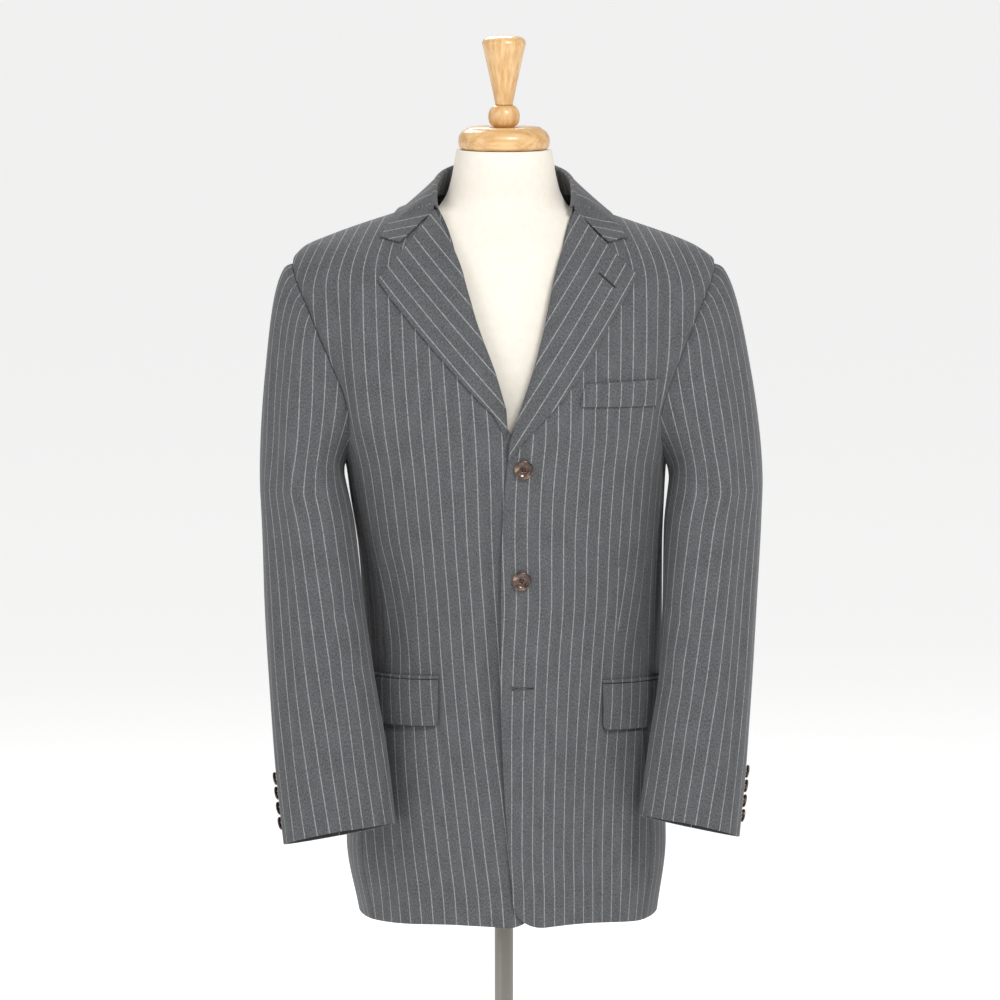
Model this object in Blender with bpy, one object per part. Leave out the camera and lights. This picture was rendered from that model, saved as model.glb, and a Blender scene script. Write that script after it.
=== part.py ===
"""Three-button sport coat on a limbless dress form.

Metres, +Z up, +Y to the back of the coat, +X to the wearer's left.
The origin is on the floor, on the axis of the stand.
"""
import math
from collections import namedtuple

import bmesh
import bpy
from mathutils import Matrix, Vector

# ---------------------------------------------------------------- driving dimensions
CLOTH = 0.0020                # one wall of cloth
SEAM = 0.0003                 # gap between two pieces that are sewn together
REST = 0.0004                 # gap under a piece that lies on a panel

HEM_HEIGHT = 0.728            # hem at the sides and the back
SHOULDER_HEIGHT = 1.430       # outer end of the shoulder seam
NECKLINE_HEIGHT = 1.500       # where the collar is sewn to the back

OVERLAP_WIDTH = 0.036         # how far the under front reaches past the centre
OVERLAP_SINK = 0.0036         # how far the under front lies below the over front
BUTTON_SINK = 0.0072          # the same, at the loose third button

FORM_FOOT = 0.790             # underside of the torso of the dress form
NECK_TOP = 1.551
POLE_RADIUS = 0.0103
BASE_RADIUS = 0.170
BASE_THICKNESS = 0.012
BASE_EDGE = 0.004             # bevel round the top of the base

FRONT_BUTTON_RADIUS = 0.0100
FRONT_BUTTON_SEGMENTS = 16
HOLE_CIRCLE = 0.0017          # the four sewing holes stand this far from a button's middle
HOLE_RADIUS = 0.0008
CUFF_BUTTON_RADIUS = 0.0072
CUFF_BUTTON_SEGMENTS = 12
CUFF_BUTTON_FIRST = 0.024     # middle of the lowest cuff button above the cuff's edge
CUFF_BUTTON_PITCH = 0.0165
CUFF_BUTTON_REST = 0.0010     # gap under a cuff button, where the sleeve curves away

LOWER_ROWS = 12               # rows of each body panel below the underarm
FRONT_COLUMNS = 12
BACK_COLUMNS = 9

# ---------------------------------------------------------------- tables
Section = namedtuple("Section", "height right left front back roundness")
BODY = [
    Section(0.728, 0.158, 0.167, 0.153, 0.132, 2.30),
    Section(0.804, 0.171, 0.176, 0.153, 0.130, 2.30),
    Section(0.900, 0.165, 0.172, 0.150, 0.121, 2.20),
    Section(0.989, 0.151, 0.170, 0.147, 0.108, 2.10),
    Section(1.060, 0.153, 0.171, 0.147, 0.102, 2.05),
    Section(1.120, 0.157, 0.171, 0.150, 0.103, 2.10),
    Section(1.180, 0.166, 0.1730, 0.154, 0.107, 2.15),
    Section(1.215, 0.171, 0.175, 0.156, 0.111, 2.20),
    Section(1.260, 0.190, 0.191, 0.155, 0.116, 2.20),
    Section(1.316, 0.213, 0.213, 0.149, 0.118, 2.15),
    Section(1.373, 0.2325, 0.2325, 0.134, 0.115, 2.00),
    Section(1.403, 0.2350, 0.2345, 0.122, 0.110, 1.90),
    Section(1.430, 0.2290, 0.2280, 0.109, 0.103, 1.80),
    Section(1.447, 0.2150, 0.2080, 0.098, 0.096, 1.72),
    Section(1.460, 0.1860, 0.1790, 0.088, 0.090, 1.68),
    Section(1.473, 0.1500, 0.1420, 0.076, 0.081, 1.68),
    Section(1.486, 0.1110, 0.1050, 0.065, 0.073, 1.80),
    Section(1.500, 0.0810, 0.0800, 0.058, 0.064, 1.95),
    Section(1.520, 0.0640, 0.0640, 0.0550, 0.0570, 2.00),
    Section(1.540, 0.0560, 0.0560, 0.0540, 0.0545, 2.00),
    Section(1.551, 0.0540, 0.0540, 0.0540, 0.0540, 2.00),
]

# How far the surface of the dress form lies inside the cloth's outer face.
FormInset = namedtuple("FormInset", "height inset")
FORM = [
    FormInset(0.790, 0.0200),
    FormInset(1.060, 0.0170),
    FormInset(1.260, 0.0150),
    FormInset(1.373, 0.0110),
    FormInset(1.430, 0.0078),
    FormInset(1.455, 0.0066),
    FormInset(1.475, 0.0070),
    FormInset(1.486, 0.0092),
    FormInset(1.494, 0.0105),
    FormInset(1.500, 0.0145),
    FormInset(1.510, 0.0115),
    FormInset(1.520, 0.0075),
    FormInset(1.540, 0.0030),
    FormInset(1.551, 0.0026),
]

FORM_HEIGHTS = (0.790, 0.850, 0.920, 0.990, 1.060, 1.130, 1.190, 1.240, 1.290, 1.335, 1.373, 1.403,
                1.425, 1.442, 1.456, 1.468, 1.479, 1.489, 1.500, 1.512, 1.526, 1.540, 1.551)
FORM_COLUMNS = 32

# The armhole seen from the side, from the shoulder point down to the underarm.
ArmholePoint = namedtuple("ArmholePoint", "height front back")
ARMHOLE = [
    ArmholePoint(1.430, 0.000, 0.000),
    ArmholePoint(1.4235, 0.016, 0.014),
    ArmholePoint(1.411, 0.032, 0.028),
    ArmholePoint(1.394, 0.048, 0.042),
    ArmholePoint(1.371, 0.064, 0.056),
    ArmholePoint(1.344, 0.076, 0.067),
    ArmholePoint(1.316, 0.083, 0.075),
    ArmholePoint(1.290, 0.086, 0.079),
    ArmholePoint(1.266, 0.082, 0.077),
    ArmholePoint(1.244, 0.069, 0.066),
    ArmholePoint(1.228, 0.048, 0.047),
    ArmholePoint(1.218, 0.024, 0.024),
    ArmholePoint(1.215, 0.000, 0.000),
]
FRONT_SEAM_MEETS = 9          # row of ARMHOLE where the front's side seam starts
BACK_SEAM_MEETS = 8           # the same for the back's side seam

# Distance in front of and behind the side line at which the two side seams run.
SideSeams = namedtuple("SideSeams", "height front back")
SIDE_SEAMS = [
    SideSeams(0.728, 0.082, 0.074),
    SideSeams(1.060, 0.076, 0.062),
    SideSeams(1.244, 0.069, 0.074),
    SideSeams(1.266, 0.068, 0.077),
]

# Sections of a sleeve, square to its centre line, from the upper arm to the cuff.
ArmSection = namedtuple("ArmSection", "height outer inner centre_y half_depth turn")
RIGHT_SLEEVE = [
    ArmSection(1.190, 0.2635, 0.1700, -0.018, 0.077, 12),
    ArmSection(1.140, 0.2605, 0.1590, -0.036, 0.074, 16),
    ArmSection(1.071, 0.2575, 0.1510, -0.058, 0.069, 20),
    ArmSection(0.989, 0.2510, 0.1390, -0.092, 0.061, 22),
    ArmSection(0.914, 0.2435, 0.1260, -0.126, 0.052, 24),
    ArmSection(0.836, 0.2330, 0.1160, -0.160, 0.042, 25),
]
LEFT_SLEEVE = [
    ArmSection(1.190, 0.2790, 0.1765, -0.018, 0.078, 12),
    ArmSection(1.140, 0.2765, 0.1710, -0.034, 0.075, 16),
    ArmSection(1.071, 0.2720, 0.1700, -0.052, 0.070, 18),
    ArmSection(0.989, 0.2660, 0.1660, -0.080, 0.062, 20),
    ArmSection(0.914, 0.2590, 0.1550, -0.110, 0.053, 22),
    ArmSection(0.841, 0.2500, 0.1450, -0.141, 0.043, 24),
]
CAP_STEPS = (0.0, 0.05, 0.12, 0.21, 0.32, 0.45, 0.60, 0.80)
ARM_ROWS = 8                  # rows from the upper arm to the cuff
CAP_ROLL = 0.075              # how strongly the cap swings out over the shoulder point
CUFF_FALL_OUTSIDE = 0.0090    # the cuff is cut this much lower on its outer side
CUFF_FALL_IN_FRONT = 0.0060   # and this much lower in front
CUFF_SQUARENESS = 2.35        # of the front half of the cuff; 2 is an ellipse
UNDER_SLEEVE_FROM = 9         # armhole row at which the front seam of a sleeve starts
UNDER_SLEEVE_TO = 17          # the same for its back seam

# Lapels: the roll line and the outer edge, from the break point to the neck.
LapelRow = namedtuple("LapelRow", "roll_x roll_z edge_x edge_z")
RIGHT_LAPEL = [
    LapelRow(-0.0010, 1.2860, -0.0110, 1.2810),
    LapelRow(-0.0075, 1.3070, -0.0265, 1.2960),
    LapelRow(-0.0148, 1.3287, -0.0467, 1.3178),
    LapelRow(-0.0306, 1.3698, -0.0775, 1.3518),
    LapelRow(-0.0412, 1.4043, -0.1040, 1.3819),
    LapelRow(-0.0518, 1.4386, -0.1200, 1.4005),
    LapelRow(-0.0740, 1.4855, -0.1333, 1.4183),
]
LEFT_LAPEL = [
    LapelRow(0.0092, 1.2525, 0.0200, 1.2520),
    LapelRow(0.0190, 1.2810, 0.0420, 1.2752),
    LapelRow(0.0310, 1.3150, 0.0678, 1.3043),
    LapelRow(0.0420, 1.3530, 0.0920, 1.3400),
    LapelRow(0.0500, 1.3890, 0.1120, 1.3755),
    LapelRow(0.0590, 1.4310, 0.1270, 1.3985),
    LapelRow(0.0755, 1.4843, 0.1407, 1.4226),
]
LAPEL_COLUMNS = 7
LAPEL_ROWS = 12
ROLL_LIFT = 0.0065            # extra height of the soft roll above the lapel's flat part
BREAK_LIFT = 0.0050           # the same at the break point
NECK_LIFT = 0.0034            # the same at the neck
PANEL_UNDER_ROLL = 0.003      # the front ends this far under the rolled edge

# Collar: where the stand is sewn on, the fold and the outer edge, from one end to the back.
# The stand and the edge are given by width and height, way being -1 on the front.
CollarRow = namedtuple("CollarRow", "way stand_x stand_z fold_x fold_y fold_z edge_x edge_z")
COLLAR = [
    CollarRow(-1, 0.0722, 1.4915, 0.0712, -0.0450, 1.4950, 0.1305, 1.4580),
    CollarRow(-1, 0.0745, 1.4985, 0.0712, -0.0240, 1.5115, 0.1215, 1.4710),
    CollarRow(-1, 0.0805, 1.4999, 0.0690, 0.0010, 1.5210, 0.1105, 1.4850),
    CollarRow(1, 0.0650, 1.4999, 0.0590, 0.0300, 1.5290, 0.0980, 1.4810),
    CollarRow(1, 0.0420, 1.4999, 0.0380, 0.0545, 1.5340, 0.0600, 1.4830),
    CollarRow(1, 0.0000, 1.4999, 0.0000, 0.0660, 1.5360, 0.0000, 1.4835),
]
COLLAR_STEPS = 14
COLLAR_FOLD_RADIUS = 0.0032
COLLAR_CLEAR = 0.0030         # outer face of the fall above the panels that it lies on
NOTCH_FROM_FOLD = 0.62        # the notch, as a fraction of the way from fold to tip
NOTCH_DROP = -0.0170

FrontEdge = namedtuple("FrontEdge", "height x")
FRONT_EDGE = [
    FrontEdge(0.728, 0.0090),
    FrontEdge(0.784, 0.0063),
    FrontEdge(0.871, 0.0010),
    FrontEdge(0.978, -0.0032),
    FrontEdge(1.085, -0.0032),
    FrontEdge(1.170, -0.0011),
    FrontEdge(1.239, 0.0050),
    FrontEdge(1.2525, 0.0092),
]
HEM_LIFT = 0.007              # the hem of each front rises this much between edge and side
CORNER_RADIUS = 0.036         # rounded lower corner of each front

POCKET_RIGHT = 0.9970         # mouth of each flap pocket at its inner end
POCKET_LEFT = 0.9905
POCKET_DROP = 0.010           # how far it falls over the length of the flap
FLAP_START_RIGHT = 0.0693     # inner end of each flap, from the centre line
FLAP_START_LEFT = 0.1042
FLAP_LENGTH = 0.148
FLAP_HEIGHT = 0.0490
FLAP_CORNER = 0.0065
FLAP_COLUMNS = 14
FLAP_ROWS = 5
JET_HEIGHT = 0.0040
JET_THICKNESS = 0.0015
JET_REST = 0.0009             # gap under a jet, where the waist curves in
FLAP_REST = 0.0010            # gap under a flap, which hangs free of the front

WeltEdge = namedtuple("WeltEdge", "inner_x inner_z outer_x outer_z")
WELT = (WeltEdge(0.0800, 1.2886, 0.1612, 1.2866), WeltEdge(0.0851, 1.3129, 0.1655, 1.3145))
WELT_ROWS = 3
WELT_COLUMNS = 9

Button = namedtuple("Button", "name x height")
FRONT_BUTTONS = [
    Button("front_button_top", 0.0205, 1.2240),
    Button("front_button_middle", 0.0184, 1.1050),
    Button("front_button_bottom", 0.0185, 0.9896),
]

Turned = namedtuple("Turned", "radius height")
# A button's section, in radii of the button: flat underside, raised rim and sunk middle.
BUTTON = [
    Turned(0.0, 0.0), Turned(0.80, 0.0), Turned(1.00, 0.162), Turned(0.97, 0.306),
    Turned(0.86, 0.360), Turned(0.70, 0.331), Turned(0.52, 0.216), Turned(0.0, 0.216),
]
NECK_CAP = [
    Turned(0.0, 1.5513), Turned(0.0440, 1.5513), Turned(0.0475, 1.5530), Turned(0.0490, 1.5570),
    Turned(0.0490, 1.5620), Turned(0.0478, 1.5665), Turned(0.0448, 1.5705), Turned(0.0410, 1.5730),
    Turned(0.0385, 1.5750), Turned(0.0, 1.5750),
]
BALL = [
    Turned(0.0, 1.5753), Turned(0.0110, 1.5753), Turned(0.0150, 1.5785), Turned(0.0168, 1.5830),
    Turned(0.0169, 1.5880), Turned(0.0155, 1.5930), Turned(0.0125, 1.5970), Turned(0.0098, 1.5985),
    Turned(0.0, 1.5985),
]
FINIAL = [
    Turned(0.0, 1.5988), Turned(0.0094, 1.5988), Turned(0.0112, 1.6080), Turned(0.0145, 1.6240),
    Turned(0.0185, 1.6420), Turned(0.0216, 1.6560), Turned(0.0231, 1.6620), Turned(0.0234, 1.6650),
    Turned(0.0215, 1.6690), Turned(0.0165, 1.6718), Turned(0.0090, 1.6730), Turned(0.0, 1.6733),
]

# ---------------------------------------------------------------- colours
Look = namedtuple("Look", "colour roughness metallic")
CLOTH_LOOK = Look((0.125, 0.130, 0.140), 0.9, 0.0)
JERSEY_LOOK = Look((0.80, 0.77, 0.70), 0.85, 0.0)
WOOD_LOOK = Look((0.70, 0.45, 0.20), 0.4, 0.0)
STEEL_LOOK = Look((0.60, 0.60, 0.60), 0.3, 1.0)
HORN_LOOK = Look((0.10, 0.045, 0.025), 0.25, 0.0)


# ---------------------------------------------------------------- smooth tables
def smooth_row(rows, key):
    """Read a table between its rows along a smooth curve; the first column is the key."""
    if key <= rows[0][0]:
        return type(rows[0])(*rows[0])
    if key >= rows[-1][0]:
        return type(rows[0])(*rows[-1])
    i = 0
    while rows[i + 1][0] < key:
        i += 1
    span = rows[i + 1][0] - rows[i][0]
    t = (key - rows[i][0]) / span
    values = [key]
    for column in range(1, len(rows[0])):
        slopes = [slope_at(rows, column, i), slope_at(rows, column, i + 1)]
        values.append(hermite(rows[i][column], slopes[0] * span,
                              rows[i + 1][column], slopes[1] * span, t))
    return type(rows[0])(*values)


def slope_at(rows, column, i):
    """Slope of one column at one row, which is zero at a peak so that nothing overshoots."""
    steps = []
    for j in (i - 1, i):
        if 0 <= j < len(rows) - 1:
            rise = rows[j + 1][column] - rows[j][column]
            steps.append(rise / (rows[j + 1][0] - rows[j][0]))
    if len(steps) == 1:
        return steps[0]
    if steps[0] * steps[1] <= 0:
        return 0.0
    return 2 * steps[0] * steps[1] / (steps[0] + steps[1])


def hermite(start, start_slope, end, end_slope, t):
    """Cubic from start to end with the given slopes, for numbers and for vectors."""
    t2 = t * t
    t3 = t2 * t
    return (start * (2 * t3 - 3 * t2 + 1) + start_slope * (t3 - 2 * t2 + t)
            + end * (3 * t2 - 2 * t3) + end_slope * (t3 - t2))


def smoothstep(low, high, value):
    """0 below low, 1 above high, and an even rise between them."""
    t = min(max((value - low) / (high - low), 0.0), 1.0)
    return t * t * (3 - 2 * t)


def mix(a, b, t):
    return a + (b - a) * t


# ---------------------------------------------------------------- the body of the coat
def half_width(section, x):
    return section.left if x >= 0 else section.right


def body_level(x, y, z):
    """Zero on the outer face of the cloth, below zero inside the coat."""
    section = smooth_row(BODY, z)
    depth = section.front if y < 0 else section.back
    across = abs(x) / half_width(section, x)
    along = abs(y) / depth
    return across ** section.roundness + along ** section.roundness - 1


def body_normal(point):
    """Direction square to the cloth, pointing out of the coat."""
    step = 0.0002
    x, y, z = point
    normal = Vector((
        body_level(x + step, y, z) - body_level(x - step, y, z),
        body_level(x, y + step, z) - body_level(x, y - step, z),
        body_level(x, y, z + step) - body_level(x, y, z - step)))
    return normal.normalized()


def body_by_width(x, z, way):
    """Point of the cloth above x and z; way is -1 on the front and +1 on the back."""
    section = smooth_row(BODY, z)
    depth = section.front if way < 0 else section.back
    rest = max(1 - (abs(x) / half_width(section, x)) ** section.roundness, 0.0)
    return Vector((x, way * depth * rest ** (1 / section.roundness), z))


def body_by_depth(side, y, z):
    """Point of the cloth at a depth y, on one side of the coat."""
    section = smooth_row(BODY, z)
    depth = section.front if y < 0 else section.back
    rest = max(1 - (abs(y) / depth) ** section.roundness, 0.0)
    return Vector((side * half_width(section, side) * rest ** (1 / section.roundness), y, z))


def top_height(x):
    """Height of the shoulder line, or of the neckline, above x."""
    low, high = SHOULDER_HEIGHT - 0.022, NECKLINE_HEIGHT
    if half_width(smooth_row(BODY, high), x) >= abs(x):
        return high
    for _ in range(40):
        middle = (low + high) / 2
        if half_width(smooth_row(BODY, middle), x) > abs(x):
            low = middle
        else:
            high = middle
    return low


def armhole_points(side):
    """The armhole as a ring: over the front to the underarm and up the back."""
    front = [body_by_depth(side, -row.front, row.height) for row in ARMHOLE]
    back = [body_by_depth(side, row.back, row.height) for row in ARMHOLE]
    return front + back[-2:0:-1]


def overlap_sink(x, z):
    """How far the under front lies below the surface, towards the centre."""
    at_button = 1 - smoothstep(0.040, 0.120, abs(z - FRONT_BUTTONS[2].height))
    depth = mix(OVERLAP_SINK, BUTTON_SINK, at_button)
    return depth * smoothstep(-0.045, -0.004, x)


def corner_rise(x, edge_x, side, radius):
    """How far the rounded front corner lifts the hem near the front edge."""
    inside = (x - edge_x) * side
    if inside >= radius:
        return 0.0
    reach = radius - max(inside, 0.0)
    return radius - math.sqrt(radius * radius - reach * reach)


# ---------------------------------------------------------------- solids from grids
def cloth_solid(name, outer, normals, look, thickness=CLOTH):
    """Close a grid of points and its copy, moved in along the normals, into one wall."""
    rows, columns = len(outer), len(outer[0])
    bm = bmesh.new()
    out = [[bm.verts.new(p) for p in row] for row in outer]
    inn = [[bm.verts.new(p - n * thickness) for p, n in zip(row, normal_row)]
           for row, normal_row in zip(outer, normals)]
    for i in range(rows - 1):
        for j in range(columns - 1):
            bm.faces.new((out[i][j], out[i][j + 1], out[i + 1][j + 1], out[i + 1][j]))
            bm.faces.new((inn[i][j], inn[i + 1][j], inn[i + 1][j + 1], inn[i][j + 1]))
    rim = [(0, j) for j in range(columns)] + [(i, columns - 1) for i in range(1, rows)]
    rim += [(rows - 1, j) for j in range(columns - 2, -1, -1)]
    rim += [(i, 0) for i in range(rows - 2, 0, -1)]
    for (i, j), (k, m) in zip(rim, rim[1:] + rim[:1]):
        bm.faces.new((out[i][j], inn[i][j], inn[k][m], out[k][m]))
    return finish_piece(name, bm, look)


def finish_piece(name, bm, look):
    """Turn a bmesh into a named object with its own material."""
    bmesh.ops.triangulate(bm, faces=bm.faces[:], quad_method="BEAUTY")
    bmesh.ops.recalc_face_normals(bm, faces=bm.faces[:])
    mesh = bpy.data.meshes.new(name)
    bm.to_mesh(mesh)
    bm.free()
    mesh.shade_smooth()
    mesh.set_sharp_from_angle(angle=math.radians(40))
    material = bpy.data.materials.new(name)
    material.use_nodes = True
    shader = material.node_tree.nodes["Principled BSDF"]
    shader.inputs["Base Color"].default_value = (*look.colour, 1.0)
    shader.inputs["Roughness"].default_value = look.roughness
    shader.inputs["Metallic"].default_value = look.metallic
    mesh.materials.append(material)
    piece = bpy.data.objects.new(name, mesh)
    bpy.context.scene.collection.objects.link(piece)
    return piece


def turned_solid(name, profile, look, segments):
    """Spin a profile of radii and heights about the axis of the stand."""
    bm = bmesh.new()
    verts = [bm.verts.new((row.radius, 0.0, row.height)) for row in profile]
    edges = [bm.edges.new(pair) for pair in zip(verts, verts[1:])]
    bmesh.ops.spin(bm, geom=verts + edges, cent=(0, 0, 0), axis=(0, 0, 1),
                   angle=2 * math.pi, steps=segments, use_merge=True)
    bmesh.ops.remove_doubles(bm, verts=bm.verts[:], dist=0.00001)
    return finish_piece(name, bm, look)


def lifted(points, lift):
    """Move each point of a grid out of the coat by its own lift."""
    return [[p + body_normal(p) * lift(p, i, j) for j, p in enumerate(row)]
            for i, row in enumerate(points)]


def normals_of(points):
    return [[body_normal(p) for p in row] for row in points]


# ---------------------------------------------------------------- body panels
def edge_spread(count, crowd):
    """Fractions from 0 to 1 that crowd towards 1, where the body turns to its side."""
    angles = [crowd * i / count for i in range(count + 1)]
    return [math.sin(a) / math.sin(crowd) for a in angles]


def front_ends(side):
    """Inner and outer end of each row of a front, from the hem to the shoulder."""
    lapel = LEFT_LAPEL if side > 0 else RIGHT_LAPEL
    break_height = lapel[0].roll_z
    armhole = armhole_points(side)
    junction = ARMHOLE[FRONT_SEAM_MEETS].height
    ends = []
    for k in range(LOWER_ROWS + 1):
        t = k / LOWER_ROWS
        z = mix(HEM_HEIGHT, junction, t)
        seam_y = -smooth_row(SIDE_SEAMS, z).front - SEAM / 2
        ends.append((front_edge(side, mix(HEM_HEIGHT, break_height, t)),
                     body_by_depth(side, seam_y, z)))
    for k in range(1, FRONT_SEAM_MEETS + 1):
        t = k / FRONT_SEAM_MEETS
        row = lapel_row(lapel, t)
        under_roll = side * PANEL_UNDER_ROLL * smoothstep(0.0, 0.2, t)
        inner = (row.roll_x + under_roll, mix(row.roll_z, NECKLINE_HEIGHT, t ** 6))
        ends.append((inner, armhole[FRONT_SEAM_MEETS - k]))
    return ends


def front_edge(side, z):
    """The front edge at a height: the over front's, or the hidden one of the under front."""
    if side > 0:
        return (smooth_row(FRONT_EDGE, z).x, z)
    turned_from = RIGHT_LAPEL[0]
    slant = smoothstep(1.205, turned_from.roll_z, z)
    return (mix(OVERLAP_WIDTH, turned_from.roll_x, slant), z)


def lapel_row(lapel, t):
    """Row of a lapel at a fraction of the way from the break point to the neck."""
    keyed = [(i / (len(lapel) - 1), *row) for i, row in enumerate(lapel)]
    place = min(t * (len(keyed) - 1), len(keyed) - 1.000001)
    i = int(place)
    f = place - i
    values = []
    for column in range(1, 5):
        before = keyed[max(i - 1, 0)][column]
        start, end = keyed[i][column], keyed[i + 1][column]
        after = keyed[min(i + 2, len(keyed) - 1)][column]
        values.append(hermite(start, (end - before) / 2, end, (after - start) / 2, f))
    return LapelRow(*values)


def front_panel(side, name):
    """One front: from the front edge to the side seam, and from the hem to the shoulder."""
    ends = front_ends(side)
    spread = edge_spread(FRONT_COLUMNS - 3, math.radians(66))
    first = spread[1]
    columns = [0.0, first * 0.08, first * 0.28, first * 0.60] + spread[1:]
    points = []
    for k, ((inner_x, inner_z), outer) in enumerate(ends):
        upper = max(k - LOWER_ROWS, 0) / FRONT_SEAM_MEETS
        low = 1 - min(k / 3, 1.0)
        row = []
        for w in columns:
            x = mix(inner_x, outer.x, w)
            z = mix(inner_z, outer.z, w)
            chord = mix(NECKLINE_HEIGHT, SHOULDER_HEIGHT, w)
            if upper:
                z += (top_height(x) - chord) * upper ** 2 if 0 < w < 1 else 0.0
            z += low * corner_rise(x, inner_x, side, CORNER_RADIUS)
            z += low * HEM_LIFT * math.sin(math.pi * w)
            z = min(z, top_height(x))
            row.append(body_by_width(x, z, -1))
        row[-1] = outer.copy()
        points.append(row)
    for p in points[-1]:
        p.y -= SEAM / 2
    if side > 0:
        return cloth_solid(name, points, normals_of(points), CLOTH_LOOK)
    sunk = lifted(points, lambda p, i, j: -overlap_sink(p.x, p.z))
    return cloth_solid(name, sunk, normals_of(points), CLOTH_LOOK)


def back_panel(side, name):
    """One back: from the centre back seam to the side seam and the armhole."""
    armhole = armhole_points(side)
    junction = ARMHOLE[BACK_SEAM_MEETS].height
    ends = []
    for k in range(LOWER_ROWS + 1):
        z = mix(HEM_HEIGHT, junction, k / LOWER_ROWS)
        seam_y = smooth_row(SIDE_SEAMS, z).back + SEAM / 2
        ends.append((z, body_by_depth(side, seam_y, z)))
    for k in range(1, BACK_SEAM_MEETS + 1):
        inner_z = mix(junction, NECKLINE_HEIGHT, k / BACK_SEAM_MEETS)
        ends.append((inner_z, armhole[-(BACK_SEAM_MEETS - k)]))
    columns = edge_spread(BACK_COLUMNS, math.radians(66))
    points = []
    for k, (inner_z, outer) in enumerate(ends):
        upper = max(k - LOWER_ROWS, 0) / BACK_SEAM_MEETS
        row = []
        for w in columns:
            x = mix(side * SEAM / 2, outer.x, w)
            z = mix(inner_z, outer.z, w)
            chord = mix(NECKLINE_HEIGHT, SHOULDER_HEIGHT, w)
            if upper:
                z += (top_height(x) - chord) * upper ** 2 if 0 < w < 1 else 0.0
            z = min(z, top_height(x))
            row.append(body_by_width(x, z, 1))
        row[-1] = outer.copy()
        points.append(row)
    for p in points[-1]:
        p.y += SEAM / 2
    return cloth_solid(name, points, normals_of(points), CLOTH_LOOK)


def side_panel(side, name):
    """The narrow panel under the arm, between the two side seams."""
    armhole = armhole_points(side)
    last = len(armhole) - BACK_SEAM_MEETS
    top = armhole[FRONT_SEAM_MEETS:last + 1]
    columns = len(top) - 1
    points = []
    for k in range(LOWER_ROWS + 1):
        row = []
        for j, above in enumerate(top):
            z = mix(HEM_HEIGHT, above.z, k / LOWER_ROWS)
            seams = smooth_row(SIDE_SEAMS, z)
            low_y = mix(-seams.front, seams.back, j / columns)
            y = mix(low_y, above.y, smoothstep(0.35, 1.0, k / LOWER_ROWS))
            if j == 0:
                y = -seams.front + SEAM / 2
            if j == columns:
                y = seams.back - SEAM / 2
            row.append(body_by_depth(side, y, z))
        points.append(row)
    return cloth_solid(name, points, normals_of(points), CLOTH_LOOK)


# ---------------------------------------------------------------- sleeves
def arm_frame(table, side, t):
    """Centre, outward and forward direction, and half sizes of a sleeve at a fraction t."""
    low, high = table[0].height, table[-1].height

    def centre_at(f):
        row = smooth_row([ArmSection(-r.height, *r[1:]) for r in table],
                         -mix(low, high, min(max(f, 0.0), 1.0)))
        return Vector((side * (row.outer + row.inner) / 2, row.centre_y, -row.height)), row
    centre, row = centre_at(t)
    along = (centre_at(t + 0.04)[0] - centre_at(t - 0.04)[0]).normalized()
    turn = math.radians(row.turn)
    outward = Vector((side * math.cos(turn), -math.sin(turn), 0.0))
    outward = (outward - along * outward.dot(along)).normalized()
    forward = along.cross(outward) * side
    half_x = (row.outer - row.inner) / 2
    across = math.sqrt(half_x ** 2 - (row.half_depth * math.sin(turn)) ** 2) / math.cos(turn)
    return centre, outward, forward, across, row.half_depth


def sleeve_rings(side):
    """All rings of a sleeve, from the armhole to the cuff, each as the armhole's points."""
    table = LEFT_SLEEVE if side > 0 else RIGHT_SLEEVE
    armhole = armhole_points(side)
    count = len(armhole)
    middle = sum(armhole, Vector()) / count
    start = []
    for p in armhole:
        normal = body_normal(p)
        inward = middle - p
        inward = (inward - normal * inward.dot(normal)).normalized()
        start.append(p + inward * SEAM * 1.6 - normal * 0.0008)

    def arm_ring(t):
        centre, outward, forward, across, depth = arm_frame(table, side, t)
        near_cuff = smoothstep(0.60, 1.0, t)
        ring = []
        for i in range(count):
            angle = 2 * math.pi * i / count
            c, s = math.cos(angle), math.sin(angle)
            fall = CUFF_FALL_OUTSIDE * c + CUFF_FALL_IN_FRONT * s
            if s > 0:
                power = 2 / mix(2.0, CUFF_SQUARENESS, smoothstep(0.0, 1.0, t))
                c, s = math.copysign(abs(c) ** power, c), s ** power
            ring.append(centre + outward * across * c + forward * depth * s
                        - Vector((0.0, 0.0, fall * near_cuff)))
        return ring

    first = arm_ring(0.0)
    below = arm_ring(0.02)
    out_of_hole = Vector((side * 0.965, 0.0, -0.26))
    rings = []
    for s in CAP_STEPS:
        ring = []
        for i in range(count):
            top = (1 + math.cos(2 * math.pi * i / count)) / 2
            reach = (first[i] - start[i]).length
            leave = out_of_hole * mix(0.010, CAP_ROLL, top)
            arrive = (below[i] - first[i]).normalized() * reach * 0.9
            ring.append(hermite(start[i], leave, first[i], arrive, s))
        rings.append(ring)
    for k in range(ARM_ROWS + 1):
        rings.append(arm_ring(k / ARM_ROWS))
    return rings


def ring_normals(rings):
    """Outward direction at each point of a tube of rings."""
    count = len(rings[0])
    normals = []
    for k, ring in enumerate(rings):
        above = rings[max(k - 1, 0)]
        below = rings[min(k + 1, len(rings) - 1)]
        middle = sum(ring, Vector()) / count
        row = []
        for i, p in enumerate(ring):
            along = below[i] - above[i]
            around = ring[(i + 1) % count] - ring[i - 1]
            normal = along.cross(around).normalized()
            if normal.dot(p - middle) < 0:
                normal.negate()
            row.append(normal)
        normals.append(row)
    return normals


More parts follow.
